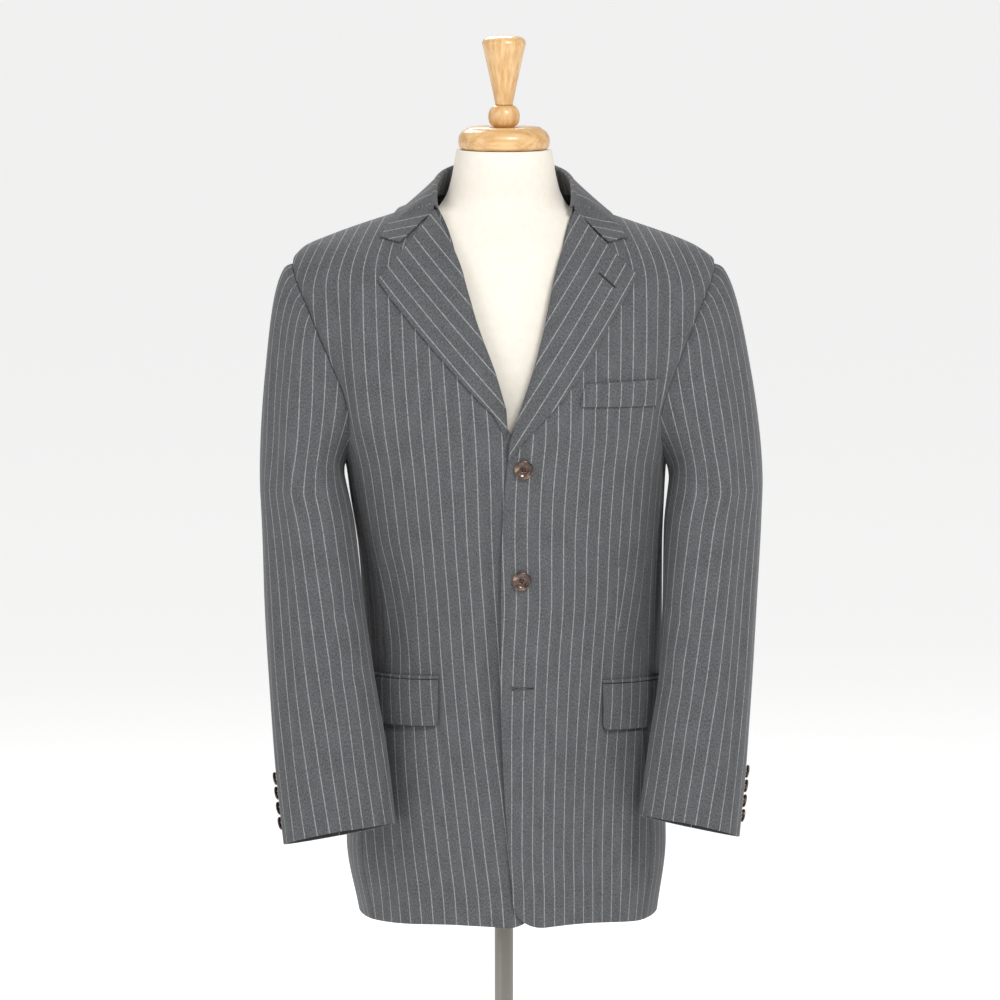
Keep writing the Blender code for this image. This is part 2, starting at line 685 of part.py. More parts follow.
def sleeve(side, names):
    """The upper and the under sleeve, which meet in two seams on the inner side."""
    rings = sleeve_rings(side)
    normals = ring_normals(rings)
    count = len(rings[0])
    low, high = UNDER_SLEEVE_FROM, UNDER_SLEEVE_TO
    for name, first, last in ((names[0], high - count, low), (names[1], low, high)):
        picked = [i % count for i in range(first, last + 1)]
        points = [[ring[i].copy() for i in picked] for ring in rings]
        facing = [[row[i] for i in picked] for row in normals]
        for row in points:
            start_step = (row[1] - row[0]).normalized() * SEAM / 2
            end_step = (row[-2] - row[-1]).normalized() * SEAM / 2
            row[0] += start_step
            row[-1] += end_step
        cloth_solid(name, points, facing, CLOTH_LOOK)


# ---------------------------------------------------------------- lapels and collar
def lapel(side, name):
    """The turned-back upper front, which lies on the front and rolls over at its inner side."""
    table = LEFT_LAPEL if side > 0 else RIGHT_LAPEL
    points = []
    for k in range(LAPEL_ROWS + 1):
        t = k / LAPEL_ROWS
        row = lapel_row(table, t)
        lift = mix(BREAK_LIFT, ROLL_LIFT, smoothstep(0.0, 0.3, t))
        lift = mix(lift, NECK_LIFT, smoothstep(0.75, 1.0, t))
        roll = body_by_width(row.roll_x, row.roll_z, -1)
        edge = body_by_width(row.edge_x, row.edge_z, -1)
        normal = body_normal(roll)
        inward = (roll - edge)
        inward = (inward - normal * inward.dot(normal)).normalized()
        sink = overlap_sink(row.roll_x, row.roll_z) if side < 0 else 0.0
        radius = (CLOTH + REST + lift) / 2
        line = []
        for turn in (140, 95, 50):
            angle = math.radians(turn)
            line.append(roll + normal * (radius * (1 + math.cos(angle)) - sink)
                        + inward * radius * math.sin(angle))
        for j in range(LAPEL_COLUMNS + 1):
            w = (j / LAPEL_COLUMNS) ** 1.2
            x = mix(row.roll_x, row.edge_x, w)
            z = mix(row.roll_z, row.edge_z, w)
            sink = overlap_sink(x, z) if side < 0 else 0.0
            on_body = body_by_width(x, z, -1)
            flat = CLOTH + REST + lift * (1 - w) ** 3 - sink
            line.append(on_body + body_normal(on_body) * flat)
        points.append(line)
    cloth_solid(name, points, grid_normals(points, side), CLOTH_LOOK)


def grid_normals(points, turn):
    """Directions square to a grid of points, turned to one side by the sign of turn."""
    rows, columns = len(points), len(points[0])
    normals = []
    for i in range(rows):
        row = []
        for j in range(columns):
            along = points[min(i + 1, rows - 1)][j] - points[max(i - 1, 0)][j]
            across = points[i][min(j + 1, columns - 1)] - points[i][max(j - 1, 0)]
            row.append(across.cross(along).normalized() * turn)
        normals.append(row)
    return normals


def body_distance(p):
    """Distance of a point from the outer face of the body, below zero inside."""
    step = 0.0002
    gradient = Vector((
        body_level(p.x + step, p.y, p.z) - body_level(p.x - step, p.y, p.z),
        body_level(p.x, p.y + step, p.z) - body_level(p.x, p.y - step, p.z),
        body_level(p.x, p.y, p.z + step) - body_level(p.x, p.y, p.z - step))) / (2 * step)
    return body_level(*p) / gradient.length


def kept_clear(p, distance):
    """Move a point out of the coat until it is at least this far from the body."""
    for _ in range(6):
        lack = distance - body_distance(p)
        if lack <= 0:
            break
        p = p + body_normal(p) * lack
    return p


def collar_nodes():
    """Stand seam, fold and edge of each row of the table, as points in space."""
    nodes = []
    for row in COLLAR:
        seam = body_by_width(row.stand_x, row.stand_z, row.way)
        upward = Vector((-seam.x, -seam.y, 0.03)).normalized()
        seam = seam + upward * SEAM * 2
        edge = body_by_width(row.edge_x, min(row.edge_z, top_height(row.edge_x)), row.way)
        edge = edge + body_normal(edge) * COLLAR_CLEAR
        nodes.append((seam, Vector((row.fold_x, row.fold_y, row.fold_z)), edge))
    return nodes


def collar_row(nodes, t):
    """Stand seam, fold and edge at t, which runs from -1 at one end to +1 at the other."""
    place = min((1 - abs(t)) * (len(nodes) - 1), len(nodes) - 1.000001)
    i = int(place)
    side = 1 if t >= 0 else -1
    values = []
    for column in range(3):
        start, end = nodes[i][column], nodes[i + 1][column]
        before = nodes[max(i - 1, 0)][column]
        if i + 2 < len(nodes):
            after = nodes[i + 2][column]
        else:
            after = Vector((-start.x, start.y, start.z))
        point = hermite(start, (end - before) / 2, end, (after - start) / 2, place - i)
        values.append(Vector((side * point.x, point.y, point.z)))
    return values


def collar(name):
    """Stand and fall in one band, folded over along the top of the neck."""
    nodes = collar_nodes()
    points = []
    radius = COLLAR_FOLD_RADIUS
    for k in range(2 * COLLAR_STEPS + 1):
        t = (k - COLLAR_STEPS) / COLLAR_STEPS
        seam, fold, edge = collar_row(nodes, t)
        outward = Vector((fold.x, fold.y, 0.0)).normalized()
        below = fold - Vector((0, 0, radius))
        seam = seam - outward * CLOTH
        line = [mix(seam, below, j / 3) for j in range(3)]
        for j in range(5):
            angle = math.pi * (1 - j / 4)
            line.append(below + outward * radius * (1 + math.cos(angle))
                        + Vector((0, 0, radius * math.sin(angle))))
        fold_end = line[-1]
        at_notch = smoothstep(0.80, 1.0, abs(t))
        for j in range(1, 7):
            f = j / 6
            drop = min((f / NOTCH_FROM_FOLD) ** 0.5, (1 - f) / (1 - NOTCH_FROM_FOLD))
            p = mix(fold_end, edge, f) + Vector((0, 0, NOTCH_DROP * drop * at_notch))
            if at_notch:
                p.y = min(p.y, mix(p.y, body_by_width(p.x, p.z, -1).y, at_notch))
            line.append(kept_clear(p, COLLAR_CLEAR))
        points.append(line)
    cloth_solid(name, points, grid_normals(points, 1), CLOTH_LOOK)


# ---------------------------------------------------------------- pockets
def girth_angles(side, z, start_x, length, count):
    """Angles of points around the body at a height, evenly spaced from start_x to the side."""
    section = smooth_row(BODY, z)
    angle = math.acos((start_x / half_width(section, side)) ** (section.roundness / 2))
    step, walked = 0.002, 0.0
    p = section_point(side, section, angle)
    angles = [angle]
    while len(angles) <= count:
        angle -= step
        q = section_point(side, section, angle)
        walked += (q - p).length
        p = q
        if walked >= length * len(angles) / count:
            angles.append(angle)
    return angles


def hung_angle(side, angle, mouth, z, w):
    """Angle of a flap's point: its inner end hangs straight down, its outer end with the body."""
    width = abs(section_point(side, smooth_row(BODY, mouth), angle).x)
    section = smooth_row(BODY, z)
    upright = math.acos(min(width / half_width(section, side), 1.0) ** (section.roundness / 2))
    return mix(upright, angle, smoothstep(0.2, 0.8, w))


def section_point(side, section, angle):
    """Point of a level section; 90 degrees is the centre front, 0 the side."""
    power = 2 / section.roundness
    x = side * half_width(section, side) * max(math.cos(angle), 0.0) ** power
    depth = section.front if angle >= 0 else section.back
    y = -math.copysign(depth * abs(math.sin(angle)) ** power, angle)
    return Vector((x, y, section.height))


def on_panel(name, rows, lift, thickness):
    """A piece that lies on the cloth: its own rows of body points, moved out."""
    facing = normals_of(rows)
    outer = [[p + n * (lift + thickness) for p, n in zip(row, normals)]
             for row, normals in zip(rows, facing)]
    cloth_solid(name, outer, facing, CLOTH_LOOK, thickness)


def pocket(side, names):
    """A flap pocket: the two narrow jets and the flap that hangs out between them."""
    start_x, top = (FLAP_START_LEFT, POCKET_LEFT) if side > 0 else (FLAP_START_RIGHT, POCKET_RIGHT)
    count = FLAP_COLUMNS
    angles = girth_angles(side, top, start_x, FLAP_LENGTH, count)
    mouth = [top - POCKET_DROP * j / count for j in range(count + 1)]
    jet_rows = []
    for rise in (SEAM * 2, SEAM * 2 + JET_HEIGHT):
        jet_rows.append([section_point(side, smooth_row(BODY, z + rise), angle)
                         for z, angle in zip(mouth, angles)])
    on_panel(names[0], jet_rows, JET_REST, JET_THICKNESS)
    flap_rows = []
    for k in range(FLAP_ROWS + 1):
        row = []
        for j, angle in enumerate(angles):
            from_end = min(j, count - j) * FLAP_LENGTH / count
            reach = max(FLAP_CORNER - from_end, 0.0)
            cut = FLAP_CORNER - math.sqrt(FLAP_CORNER ** 2 - reach ** 2)
            z = mouth[j] - (FLAP_HEIGHT - cut) * k / FLAP_ROWS
            hung = hung_angle(side, angle, mouth[j], z, j / count)
            row.append(section_point(side, smooth_row(BODY, z), hung))
        flap_rows.append(row)
    on_panel(names[1], flap_rows, FLAP_REST, CLOTH)


def breast_welt(name):
    """The welt of the breast pocket, which rises a little towards the arm."""
    low, high = WELT
    rows = []
    for k in range(WELT_ROWS + 1):
        f = k / WELT_ROWS
        row = []
        for j in range(WELT_COLUMNS + 1):
            w = j / WELT_COLUMNS
            x = mix(mix(low.inner_x, low.outer_x, w), mix(high.inner_x, high.outer_x, w), f)
            z = mix(mix(low.inner_z, low.outer_z, w), mix(high.inner_z, high.outer_z, w), f)
            row.append(body_by_width(x, z, -1))
        rows.append(row)
    on_panel(name, rows, REST, CLOTH)


# ---------------------------------------------------------------- buttons
def button(name, radius, centre, outward, segments):
    """A sew-through button with a raised rim and a sunk middle, and where it was placed."""
    bm = bmesh.new()
    verts = [bm.verts.new((row.radius * radius, 0.0, row.height * radius)) for row in BUTTON]
    edges = [bm.edges.new(pair) for pair in zip(verts, verts[1:])]
    bmesh.ops.spin(bm, geom=verts + edges, cent=(0, 0, 0), axis=(0, 0, 1),
                   angle=2 * math.pi, steps=segments, use_merge=True)
    bmesh.ops.remove_doubles(bm, verts=bm.verts[:], dist=0.00001)
    turn = outward.to_track_quat("Z", "Y").to_matrix().to_4x4()
    place = Matrix.Translation(centre) @ turn
    bmesh.ops.transform(bm, matrix=place, verts=bm.verts[:])
    return finish_piece(name, bm, HORN_LOOK), place


def drill_holes(piece, place):
    """Cut the four sewing holes of a front button."""
    bm = bmesh.new()
    for k in range(4):
        angle = math.pi / 4 + k * math.pi / 2
        offset = Vector((math.cos(angle), math.sin(angle), 0)) * HOLE_CIRCLE
        made = bmesh.ops.create_cone(bm, cap_ends=True, segments=6, radius1=HOLE_RADIUS,
                                     radius2=HOLE_RADIUS, depth=FRONT_BUTTON_RADIUS)
        bmesh.ops.translate(bm, verts=made["verts"], vec=offset)
    bmesh.ops.transform(bm, matrix=place, verts=bm.verts[:])
    cutter = finish_piece(piece.name + "_holes", bm, HORN_LOOK)
    cutter.hide_render = True
    cutter.display_type = "WIRE"
    cut = piece.modifiers.new("holes", "BOOLEAN")
    cut.operation = "DIFFERENCE"
    cut.solver = "EXACT"
    cut.object = cutter


def front_buttons():
    """Two fastened buttons on the over front and one loose one on the under front."""
    for row in FRONT_BUTTONS:
        seat = body_by_width(row.x, row.height, -1)
        outward = body_normal(seat)
        hidden = row.name.endswith("bottom")
        sink = overlap_sink(row.x, row.height) if hidden else 0.0
        piece, place = button(row.name, FRONT_BUTTON_RADIUS, seat + outward * (2 * SEAM - sink),
                              outward, FRONT_BUTTON_SEGMENTS)
        drill_holes(piece, place)


def cuff_buttons(side, prefix):
    """Four buttons in a row along the vent at the back of a cuff."""
    rings = sleeve_rings(side)
    normals = ring_normals(rings)
    count = len(rings[0])
    column = count - 2
    last = len(rings) - 1
    walk, ring = 0.0, last
    for k in range(4):
        distance = CUFF_BUTTON_FIRST + CUFF_BUTTON_PITCH * k
        step = (rings[ring - 1][column] - rings[ring][column]).length
        while walk + step < distance:
            walk += step
            ring -= 1
            step = (rings[ring - 1][column] - rings[ring][column]).length
        part = (distance - walk) / step
        seat = mix(rings[ring][column], rings[ring - 1][column], part)
        outward = mix(normals[ring][column], normals[ring - 1][column], part).normalized()
        button(f"{prefix}_{k + 1}", CUFF_BUTTON_RADIUS, seat + outward * CUFF_BUTTON_REST,
               outward, CUFF_BUTTON_SEGMENTS)


# ---------------------------------------------------------------- dress form
def form_torso(name):
    """Smooth torso and neck without limbs, inside the coat and touching it at the shoulders."""
    columns = FORM_COLUMNS
    rings = []
    for z in FORM_HEIGHTS:
        section = smooth_row(BODY, z)
        inset = smooth_row(FORM, z).inset
        power = 2 / section.roundness
        ring = []
        for i in range(columns):
            angle = 2 * math.pi * i / columns
            c, s = math.cos(angle), math.sin(angle)
            width = section.left if c >= 0 else section.right
            depth = section.back if s >= 0 else section.front
            p = Vector((math.copysign(width * abs(c) ** power, c),
                        math.copysign(depth * abs(s) ** power, s), z))
            ring.append(p - body_normal(p) * inset)
        rings.append(ring)
    top, bottom = rings[-1], rings[0]
    for p in top:
        p.z = NECK_TOP
    for p in bottom:
        p.z = FORM_FOOT
    bm = bmesh.new()
    loops = [[bm.verts.new(p) for p in ring] for ring in rings]
    for low, high in zip(loops, loops[1:]):
        for i in range(columns):
            j = (i + 1) % columns
            bm.faces.new((low[i], low[j], high[j], high[i]))
    bm.faces.new(loops[0][::-1])
    bm.faces.new(loops[-1])
    return finish_piece(name, bm, JERSEY_LOOK)


def stand():
    """Cap and finial of turned wood, and the steel pole on its round base."""
    turned_solid("neck_cap", NECK_CAP, WOOD_LOOK, 28)
    turned_solid("finial_ball", BALL, WOOD_LOOK, 20)
    turned_solid("finial", FINIAL, WOOD_LOOK, 20)
    pole_foot = BASE_THICKNESS + SEAM
    pole_top = FORM_FOOT - SEAM
    turned_solid("pole", [Turned(0.0, pole_foot), Turned(POLE_RADIUS, pole_foot),
                          Turned(POLE_RADIUS, pole_top), Turned(0.0, pole_top)], STEEL_LOOK, 24)
    turned_solid("base_plate", [Turned(0.0, 0.0), Turned(BASE_RADIUS, 0.0),
                                Turned(BASE_RADIUS, BASE_THICKNESS - BASE_EDGE),
                                Turned(BASE_RADIUS - BASE_EDGE, BASE_THICKNESS),
                                Turned(0.0, BASE_THICKNESS)], STEEL_LOOK, 40)


# ---------------------------------------------------------------- build
def main():
    for leftover in list(bpy.data.objects):
        bpy.data.objects.remove(leftover)
    for side, word in ((-1, "right"), (1, "left")):
        front_panel(side, f"front_{word}")
        side_panel(side, f"side_{word}")
        back_panel(side, f"back_{word}")
        sleeve(side, (f"upper_sleeve_{word}", f"under_sleeve_{word}"))
        lapel(side, f"lapel_{word}")
        pocket(side, (f"pocket_jet_{word}", f"pocket_flap_{word}"))
        cuff_buttons(side, f"cuff_button_{word}")
    collar("collar")
    breast_welt("breast_welt")
    front_buttons()
    form_torso("form_torso")
    stand()


main()
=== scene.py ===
# %% [markdown]
# # A three-button sport coat on a dress form
# This file dresses a finished CAD model. The CAD holds every cut piece of the coat as a plain
# wall of cloth, at its true size and place. Here each piece gets its finer shape, its soft
# creases, its pinstripe and its sewing, and the stand gets its wood, jersey and steel.
# Lengths are in metres, +Z is up, the front of the coat faces -Y, and +X is the wearer's left.

# %% Load the model
import math
from collections import namedtuple
from functools import lru_cache

import bmesh
import bpy
from mathutils import Matrix, Vector


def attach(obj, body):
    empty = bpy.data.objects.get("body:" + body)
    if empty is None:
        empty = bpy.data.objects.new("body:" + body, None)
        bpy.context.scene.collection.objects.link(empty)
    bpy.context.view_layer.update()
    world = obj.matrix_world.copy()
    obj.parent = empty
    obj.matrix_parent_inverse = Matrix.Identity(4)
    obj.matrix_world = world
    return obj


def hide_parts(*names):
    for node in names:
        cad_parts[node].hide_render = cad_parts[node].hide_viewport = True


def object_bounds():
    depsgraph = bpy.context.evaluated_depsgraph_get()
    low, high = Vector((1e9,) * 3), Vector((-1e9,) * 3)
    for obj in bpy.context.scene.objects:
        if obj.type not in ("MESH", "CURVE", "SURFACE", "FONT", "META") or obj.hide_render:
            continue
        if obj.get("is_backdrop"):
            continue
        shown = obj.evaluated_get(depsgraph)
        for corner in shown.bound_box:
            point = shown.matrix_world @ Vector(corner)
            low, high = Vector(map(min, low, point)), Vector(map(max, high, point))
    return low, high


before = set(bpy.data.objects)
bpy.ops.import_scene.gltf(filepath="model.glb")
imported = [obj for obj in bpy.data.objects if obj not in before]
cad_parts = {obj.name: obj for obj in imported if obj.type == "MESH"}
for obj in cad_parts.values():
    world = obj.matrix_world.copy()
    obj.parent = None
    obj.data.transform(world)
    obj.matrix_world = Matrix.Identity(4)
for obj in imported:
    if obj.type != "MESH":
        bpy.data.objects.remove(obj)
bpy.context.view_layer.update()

# %% [markdown]
# A photographer would stand well back and use a long lens, so that the shoulders and the hem
# keep their true proportions. The camera looks down a little, from about 6 m away. The lens is
# worked out from the focal length in pixels: 5555 pixels on a picture 1000 pixels wide.

# %% Camera
SENSOR = 36.0
FOCAL_PIXELS = 5555.0
TILT = math.radians(7.1)
DISTANCE = 6.0
AIM = Vector((-0.0043, 0.0, 1.1725))
PICTURE_PIXELS = 1000


def in_scene(name, data):
    """A new object for a mesh, a lamp or a camera, linked to the scene."""
    made = bpy.data.objects.new(name, data)
    bpy.context.scene.collection.objects.link(made)
    return made


camera_data = bpy.data.cameras.new("studio_camera")
camera_data.sensor_width = SENSOR
camera_data.lens = SENSOR * FOCAL_PIXELS / PICTURE_PIXELS
camera = in_scene("studio_camera", camera_data)
camera.location = AIM + Vector((0, -math.cos(TILT), math.sin(TILT))) * DISTANCE
camera.rotation_euler = (math.pi / 2 - TILT, 0, 0)
bpy.context.scene.camera = camera
print("lens", round(camera_data.lens, 1), "mm")

# %% [markdown]
# The studio is as plain as it can be: a wide white floor under a pale sky. The sky lights the
# cloth from every side, and large soft lamps give the folds a light and a dark side; the key
# lamp stands at the upper right. The Standard view transform keeps colours as typed.

# %% Studio
bpy.context.scene.view_settings.view_transform = "Standard"


def linear(hex_colour):
    """An sRGB hex colour such as 7A5B3C as the linear RGBA that a shader expects."""
    channels = [int(hex_colour[i:i + 2], 16) / 255 for i in (0, 2, 4)]
    return (*(c / 12.92 if c <= 0.04045 else ((c + 0.055) / 1.055) ** 2.4 for c in channels), 1)


def add(tree, kind, settings=None, links=None):
    """Add one node with its settings; links joins a socket to a value, or to another socket."""
    node = tree.nodes.new(kind)
    for name, value in (settings or {}).items():
        setattr(node, name, value)
    for key, value in (links or {}).items():
        socket = node.inputs[key]
        if isinstance(value, bpy.types.NodeSocket):
            tree.links.new(value, socket)
        else:
            socket.default_value = value
    return node


def calculate(tree, operation, *values):
    """One step of arithmetic on sockets and numbers; returns the socket of its result."""
    node = add(tree, "ShaderNodeMath", {"operation": operation}, dict(enumerate(values)))
    return node.outputs[0]


def drawn_noise(tree, vector, scale, **settings):
    """Noise that is drawn out by a scale along each axis; returns the socket of its value."""
    space = add(tree, "ShaderNodeMapping", None, {"Vector": vector, "Scale": scale})
    noise = add(tree, "ShaderNodeTexNoise", None, {
        "Vector": space.outputs["Vector"], "Scale": 1.0, **settings})
    return noise.outputs["Fac"]


def principled(name, settings):
    """A new material, its node tree and its Principled shader with these inputs set."""
    material = bpy.data.materials.new(name)
    material.use_nodes = True
    shader = material.node_tree.nodes["Principled BSDF"]
    for key, value in settings.items():
        shader.inputs[key].default_value = value
    return material, material.node_tree, shader


SKY_STRENGTH = 0.45
sky = bpy.data.worlds.new("pale_sky")
sky.use_nodes = True
background = sky.node_tree.nodes["Background"]
background.inputs["Color"].default_value = linear("FAFAFA")
background.inputs["Strength"].default_value = SKY_STRENGTH
bpy.context.scene.world = sky

LAMPS_AIM = Vector((0, 0, 1.1))
Lamp = namedtuple("Lamp", "name place size watts")
LAMPS = (
    Lamp("key_lamp", Vector((1.3, -2.8, 4.0)), 1.1, 104),
    Lamp("fill_lamp", Vector((-3.2, -2.4, 2.8)), 2.4, 44),
    Lamp("back_lamp", Vector((-0.6, 3.0, 3.8)), 2.0, 84),
)
for lamp in LAMPS:
    light = bpy.data.lights.new(lamp.name, "AREA")
    light.shape = "SQUARE"
    light.size = lamp.size
    light.energy = lamp.watts
    holder = in_scene(lamp.name, light)
    holder.location = lamp.place
    holder.rotation_euler = (LAMPS_AIM - lamp.place).to_track_quat("-Z", "Y").to_euler()
print("lamps", [lamp.name for lamp in LAMPS])

# %% [markdown]
# The floor is matt and white, and so wide that no edge shows. It glows a little, like a light
# table, so it stays white behind the coat.

# %% Floor
FLOOR_RADIUS = 90
FLOOR_GLOW = 0.47
floor_material, _, _ = principled("matt_white_vinyl", {
    "Base Color": linear("F8F8F7"), "Roughness": 0.9,
    "Emission Color": (1.0, 1.0, 1.0, 1), "Emission Strength": FLOOR_GLOW})
bm = bmesh.new()
bmesh.ops.create_circle(bm, cap_ends=True, segments=96, radius=FLOOR_RADIUS)
floor_mesh = bpy.data.meshes.new("floor")
bm.to_mesh(floor_mesh)
bm.free()
floor_mesh.materials.append(floor_material)
floor = in_scene("floor", floor_mesh)
floor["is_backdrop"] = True
print("floor laid")

# %% [markdown]
# The body of the coat is one smooth surface. A tailor would give its size at a few heights, and
# so does this table: how far it reaches to each side, to the front and to the back, and how
# square the section is. 2.0 is an ellipse, and a larger number is fuller at the corners.

# %% The body's sizes
Section = namedtuple("Section", "height right left front back roundness")
BODY = (
    Section(0.728, 0.158, 0.167, 0.153, 0.132, 2.30),
    Section(0.804, 0.171, 0.176, 0.153, 0.130, 2.30),
    Section(0.900, 0.165, 0.172, 0.150, 0.121, 2.20),
    Section(0.989, 0.151, 0.170, 0.147, 0.108, 2.10),
    Section(1.060, 0.153, 0.171, 0.147, 0.102, 2.05),
    Section(1.120, 0.157, 0.171, 0.150, 0.103, 2.10),
    Section(1.180, 0.166, 0.1730, 0.154, 0.107, 2.15),
    Section(1.215, 0.171, 0.175, 0.156, 0.111, 2.20),
    Section(1.260, 0.190, 0.191, 0.155, 0.116, 2.20),
    Section(1.316, 0.213, 0.213, 0.149, 0.118, 2.15),
    Section(1.373, 0.2325, 0.2325, 0.134, 0.115, 2.00),
    Section(1.403, 0.2350, 0.2345, 0.122, 0.110, 1.90),
    Section(1.430, 0.2290, 0.2280, 0.109, 0.103, 1.80),
    Section(1.447, 0.2150, 0.2080, 0.098, 0.096, 1.72),
    Section(1.460, 0.1860, 0.1790, 0.088, 0.090, 1.68),
    Section(1.473, 0.1500, 0.1420, 0.076, 0.081, 1.68),
    Section(1.486, 0.1110, 0.1050, 0.065, 0.073, 1.80),
    Section(1.500, 0.0810, 0.0800, 0.058, 0.064, 1.95),
    Section(1.520, 0.0640, 0.0640, 0.0550, 0.0570, 2.00),
    Section(1.540, 0.0560, 0.0560, 0.0540, 0.0545, 2.00),
    Section(1.551, 0.0540, 0.0540, 0.0540, 0.0540, 2.00),
)


def hermite(start, start_slope, end, end_slope, t):
    """Cubic from start to end with the given slopes, for numbers and for vectors."""
    t2 = t * t
    t3 = t2 * t
    return (start * (2 * t3 - 3 * t2 + 1) + start_slope * (t3 - 2 * t2 + t)
            + end * (3 * t2 - 2 * t3) + end_slope * (t3 - t2))


def through(before, start, end, after, t):
    """Smooth curve from start to end, which heads on towards the points on either side."""
    return hermite(start, (end - before) / 2, end, (after - start) / 2, t)


def slope_at(rows, column, i):
    """Slope of one column at one row, which is zero at a peak so that nothing overshoots."""
    steps = []
    for j in (i - 1, i):
        if 0 <= j < len(rows) - 1:
            rise = rows[j + 1][column] - rows[j][column]
            steps.append(rise / (rows[j + 1][0] - rows[j][0]))
    if len(steps) == 1:
        return steps[0]
    if steps[0] * steps[1] <= 0:
        return 0.0
    return 2 * steps[0] * steps[1] / (steps[0] + steps[1])


@lru_cache(maxsize=200000)
def smooth_row(rows, key):
    """Read a table between its rows along a smooth curve; the first column is the key."""
    if key <= rows[0][0]:
        return rows[0]
    if key >= rows[-1][0]:
        return rows[-1]
    i = 0
    while rows[i + 1][0] < key:
        i += 1
    span = rows[i + 1][0] - rows[i][0]
    t = (key - rows[i][0]) / span
    values = [key]
    for column in range(1, len(rows[0])):
        first, second = slope_at(rows, column, i), slope_at(rows, column, i + 1)
        values.append(hermite(rows[i][column], first * span,
                              rows[i + 1][column], second * span, t))
    return type(rows[0])(*values)


def smoothstep(low, high, value):
    """0 below low, 1 above high, and an even rise between them."""
    t = min(max((value - low) / (high - low), 0.0), 1.0)
    return t * t * (3 - 2 * t)


def mix(a, b, t):
    return a + (b - a) * t


SIDES = ((-1, "right"), (1, "left"))
NEARLY = 0.00001
print("chest half width", BODY[10].left)

# %% [markdown]
# These helpers find a point of that surface, and the direction square to it. The surface is
# given by an equation, so a piece of cloth that lies on it is placed exactly, and anything that
# lies on the cloth, such as a lapel or a flap, is found from the same points and moved out.

# %% Points of the body
def half_width(section, x):
    return section.left if x >= 0 else section.right


def body_level(x, y, z):
    """Zero on the outer face of the cloth, below zero inside the coat."""
    section = smooth_row(BODY, round(z, 6))
    depth = section.front if y < 0 else section.back
    across = abs(x) / half_width(section, x)
    along = abs(y) / depth
    return across ** section.roundness + along ** section.roundness - 1


def level_gradient(point):
    step = 0.0002
    x, y, z = point
    return Vector((
        body_level(x + step, y, z) - body_level(x - step, y, z),
        body_level(x, y + step, z) - body_level(x, y - step, z),
        body_level(x, y, z + step) - body_level(x, y, z - step))) / (2 * step)


def body_normal(point):
    """Direction square to the cloth, pointing out of the coat."""
    return level_gradient(point).normalized()


def body_by_width(x, z, way):
    """Point of the cloth above x and z; way is -1 on the front and +1 on the back."""
    section = smooth_row(BODY, round(z, 6))
    depth = section.front if way < 0 else section.back
    rest = max(1 - (abs(x) / half_width(section, x)) ** section.roundness, 0.0)
    return Vector((x, way * depth * rest ** (1 / section.roundness), z))


def body_by_depth(side, y, z):
    """Point of the cloth at a depth y, on one side of the coat."""
    section = smooth_row(BODY, round(z, 6))
    depth = section.front if y < 0 else section.back
    rest = max(1 - (abs(y) / depth) ** section.roundness, 0.0)
    return Vector((side * half_width(section, side) * rest ** (1 / section.roundness), y, z))


SHOULDER_HEIGHT = 1.430
NECKLINE_HEIGHT = 1.500


@lru_cache(maxsize=200000)
def top_height(x):
    """Height of the shoulder line, or of the neckline, above x."""
    low, high = SHOULDER_HEIGHT - 0.022, NECKLINE_HEIGHT
    if half_width(smooth_row(BODY, high), x) >= abs(x):
        return high
    for _ in range(30):
        middle = (low + high) / 2
        if half_width(smooth_row(BODY, middle), x) > abs(x):
            low = middle
        else:
            high = middle
    return low


print("centre front at the waist", tuple(round(c, 4) for c in body_by_width(0.0, 1.06, -1)))

# %% [markdown]
# The armhole is an oval seam that runs over the shoulder point, down the front, under the arm
# and up the back. The table gives it from the side. A smooth curve through its points lets the
# fronts, the back and the sleeve share the very same seam.

# %% The armhole
ArmholePoint = namedtuple("ArmholePoint", "height front back")
ARMHOLE = (
    ArmholePoint(1.430, 0.000, 0.000),
    ArmholePoint(1.4235, 0.016, 0.014),
    ArmholePoint(1.411, 0.032, 0.028),
    ArmholePoint(1.394, 0.048, 0.042),
    ArmholePoint(1.371, 0.064, 0.056),
    ArmholePoint(1.344, 0.076, 0.067),
    ArmholePoint(1.316, 0.083, 0.075),
    ArmholePoint(1.290, 0.086, 0.079),
    ArmholePoint(1.266, 0.082, 0.077),
    ArmholePoint(1.244, 0.069, 0.066),
    ArmholePoint(1.228, 0.048, 0.047),
    ArmholePoint(1.218, 0.024, 0.024),
    ArmholePoint(1.215, 0.000, 0.000),
)
ROUND = 2 * (len(ARMHOLE) - 1)
FRONT_SEAM_MEETS = 9
BACK_SEAM_MEETS = 8


def armhole_outline():
    """Depth and height of the armhole's points as a ring, starting at the shoulder point."""
    front = [(-row.front, row.height) for row in ARMHOLE]
    back = [(row.back, row.height) for row in ARMHOLE]
    return front + back[-2:0:-1]


OUTLINE = armhole_outline()


@lru_cache(maxsize=20000)
def armhole_at(side, place):
    """Point of the armhole seam; place counts the table's points round the ring, with parts."""
    i = math.floor(place)
    f = place - i
    values = []
    for column in (0, 1):
        values.append(through(*(OUTLINE[(i + k) % ROUND][column] for k in (-1, 0, 1, 2)), f))
    return body_by_depth(side, values[0], values[1])


print("underarm", tuple(round(c, 4) for c in armhole_at(1, 12.0)))

# %% [markdown]
# Two long seams run from the armhole to the hem on each side, in front of the arm and behind
# it. Between them lies the narrow side panel.

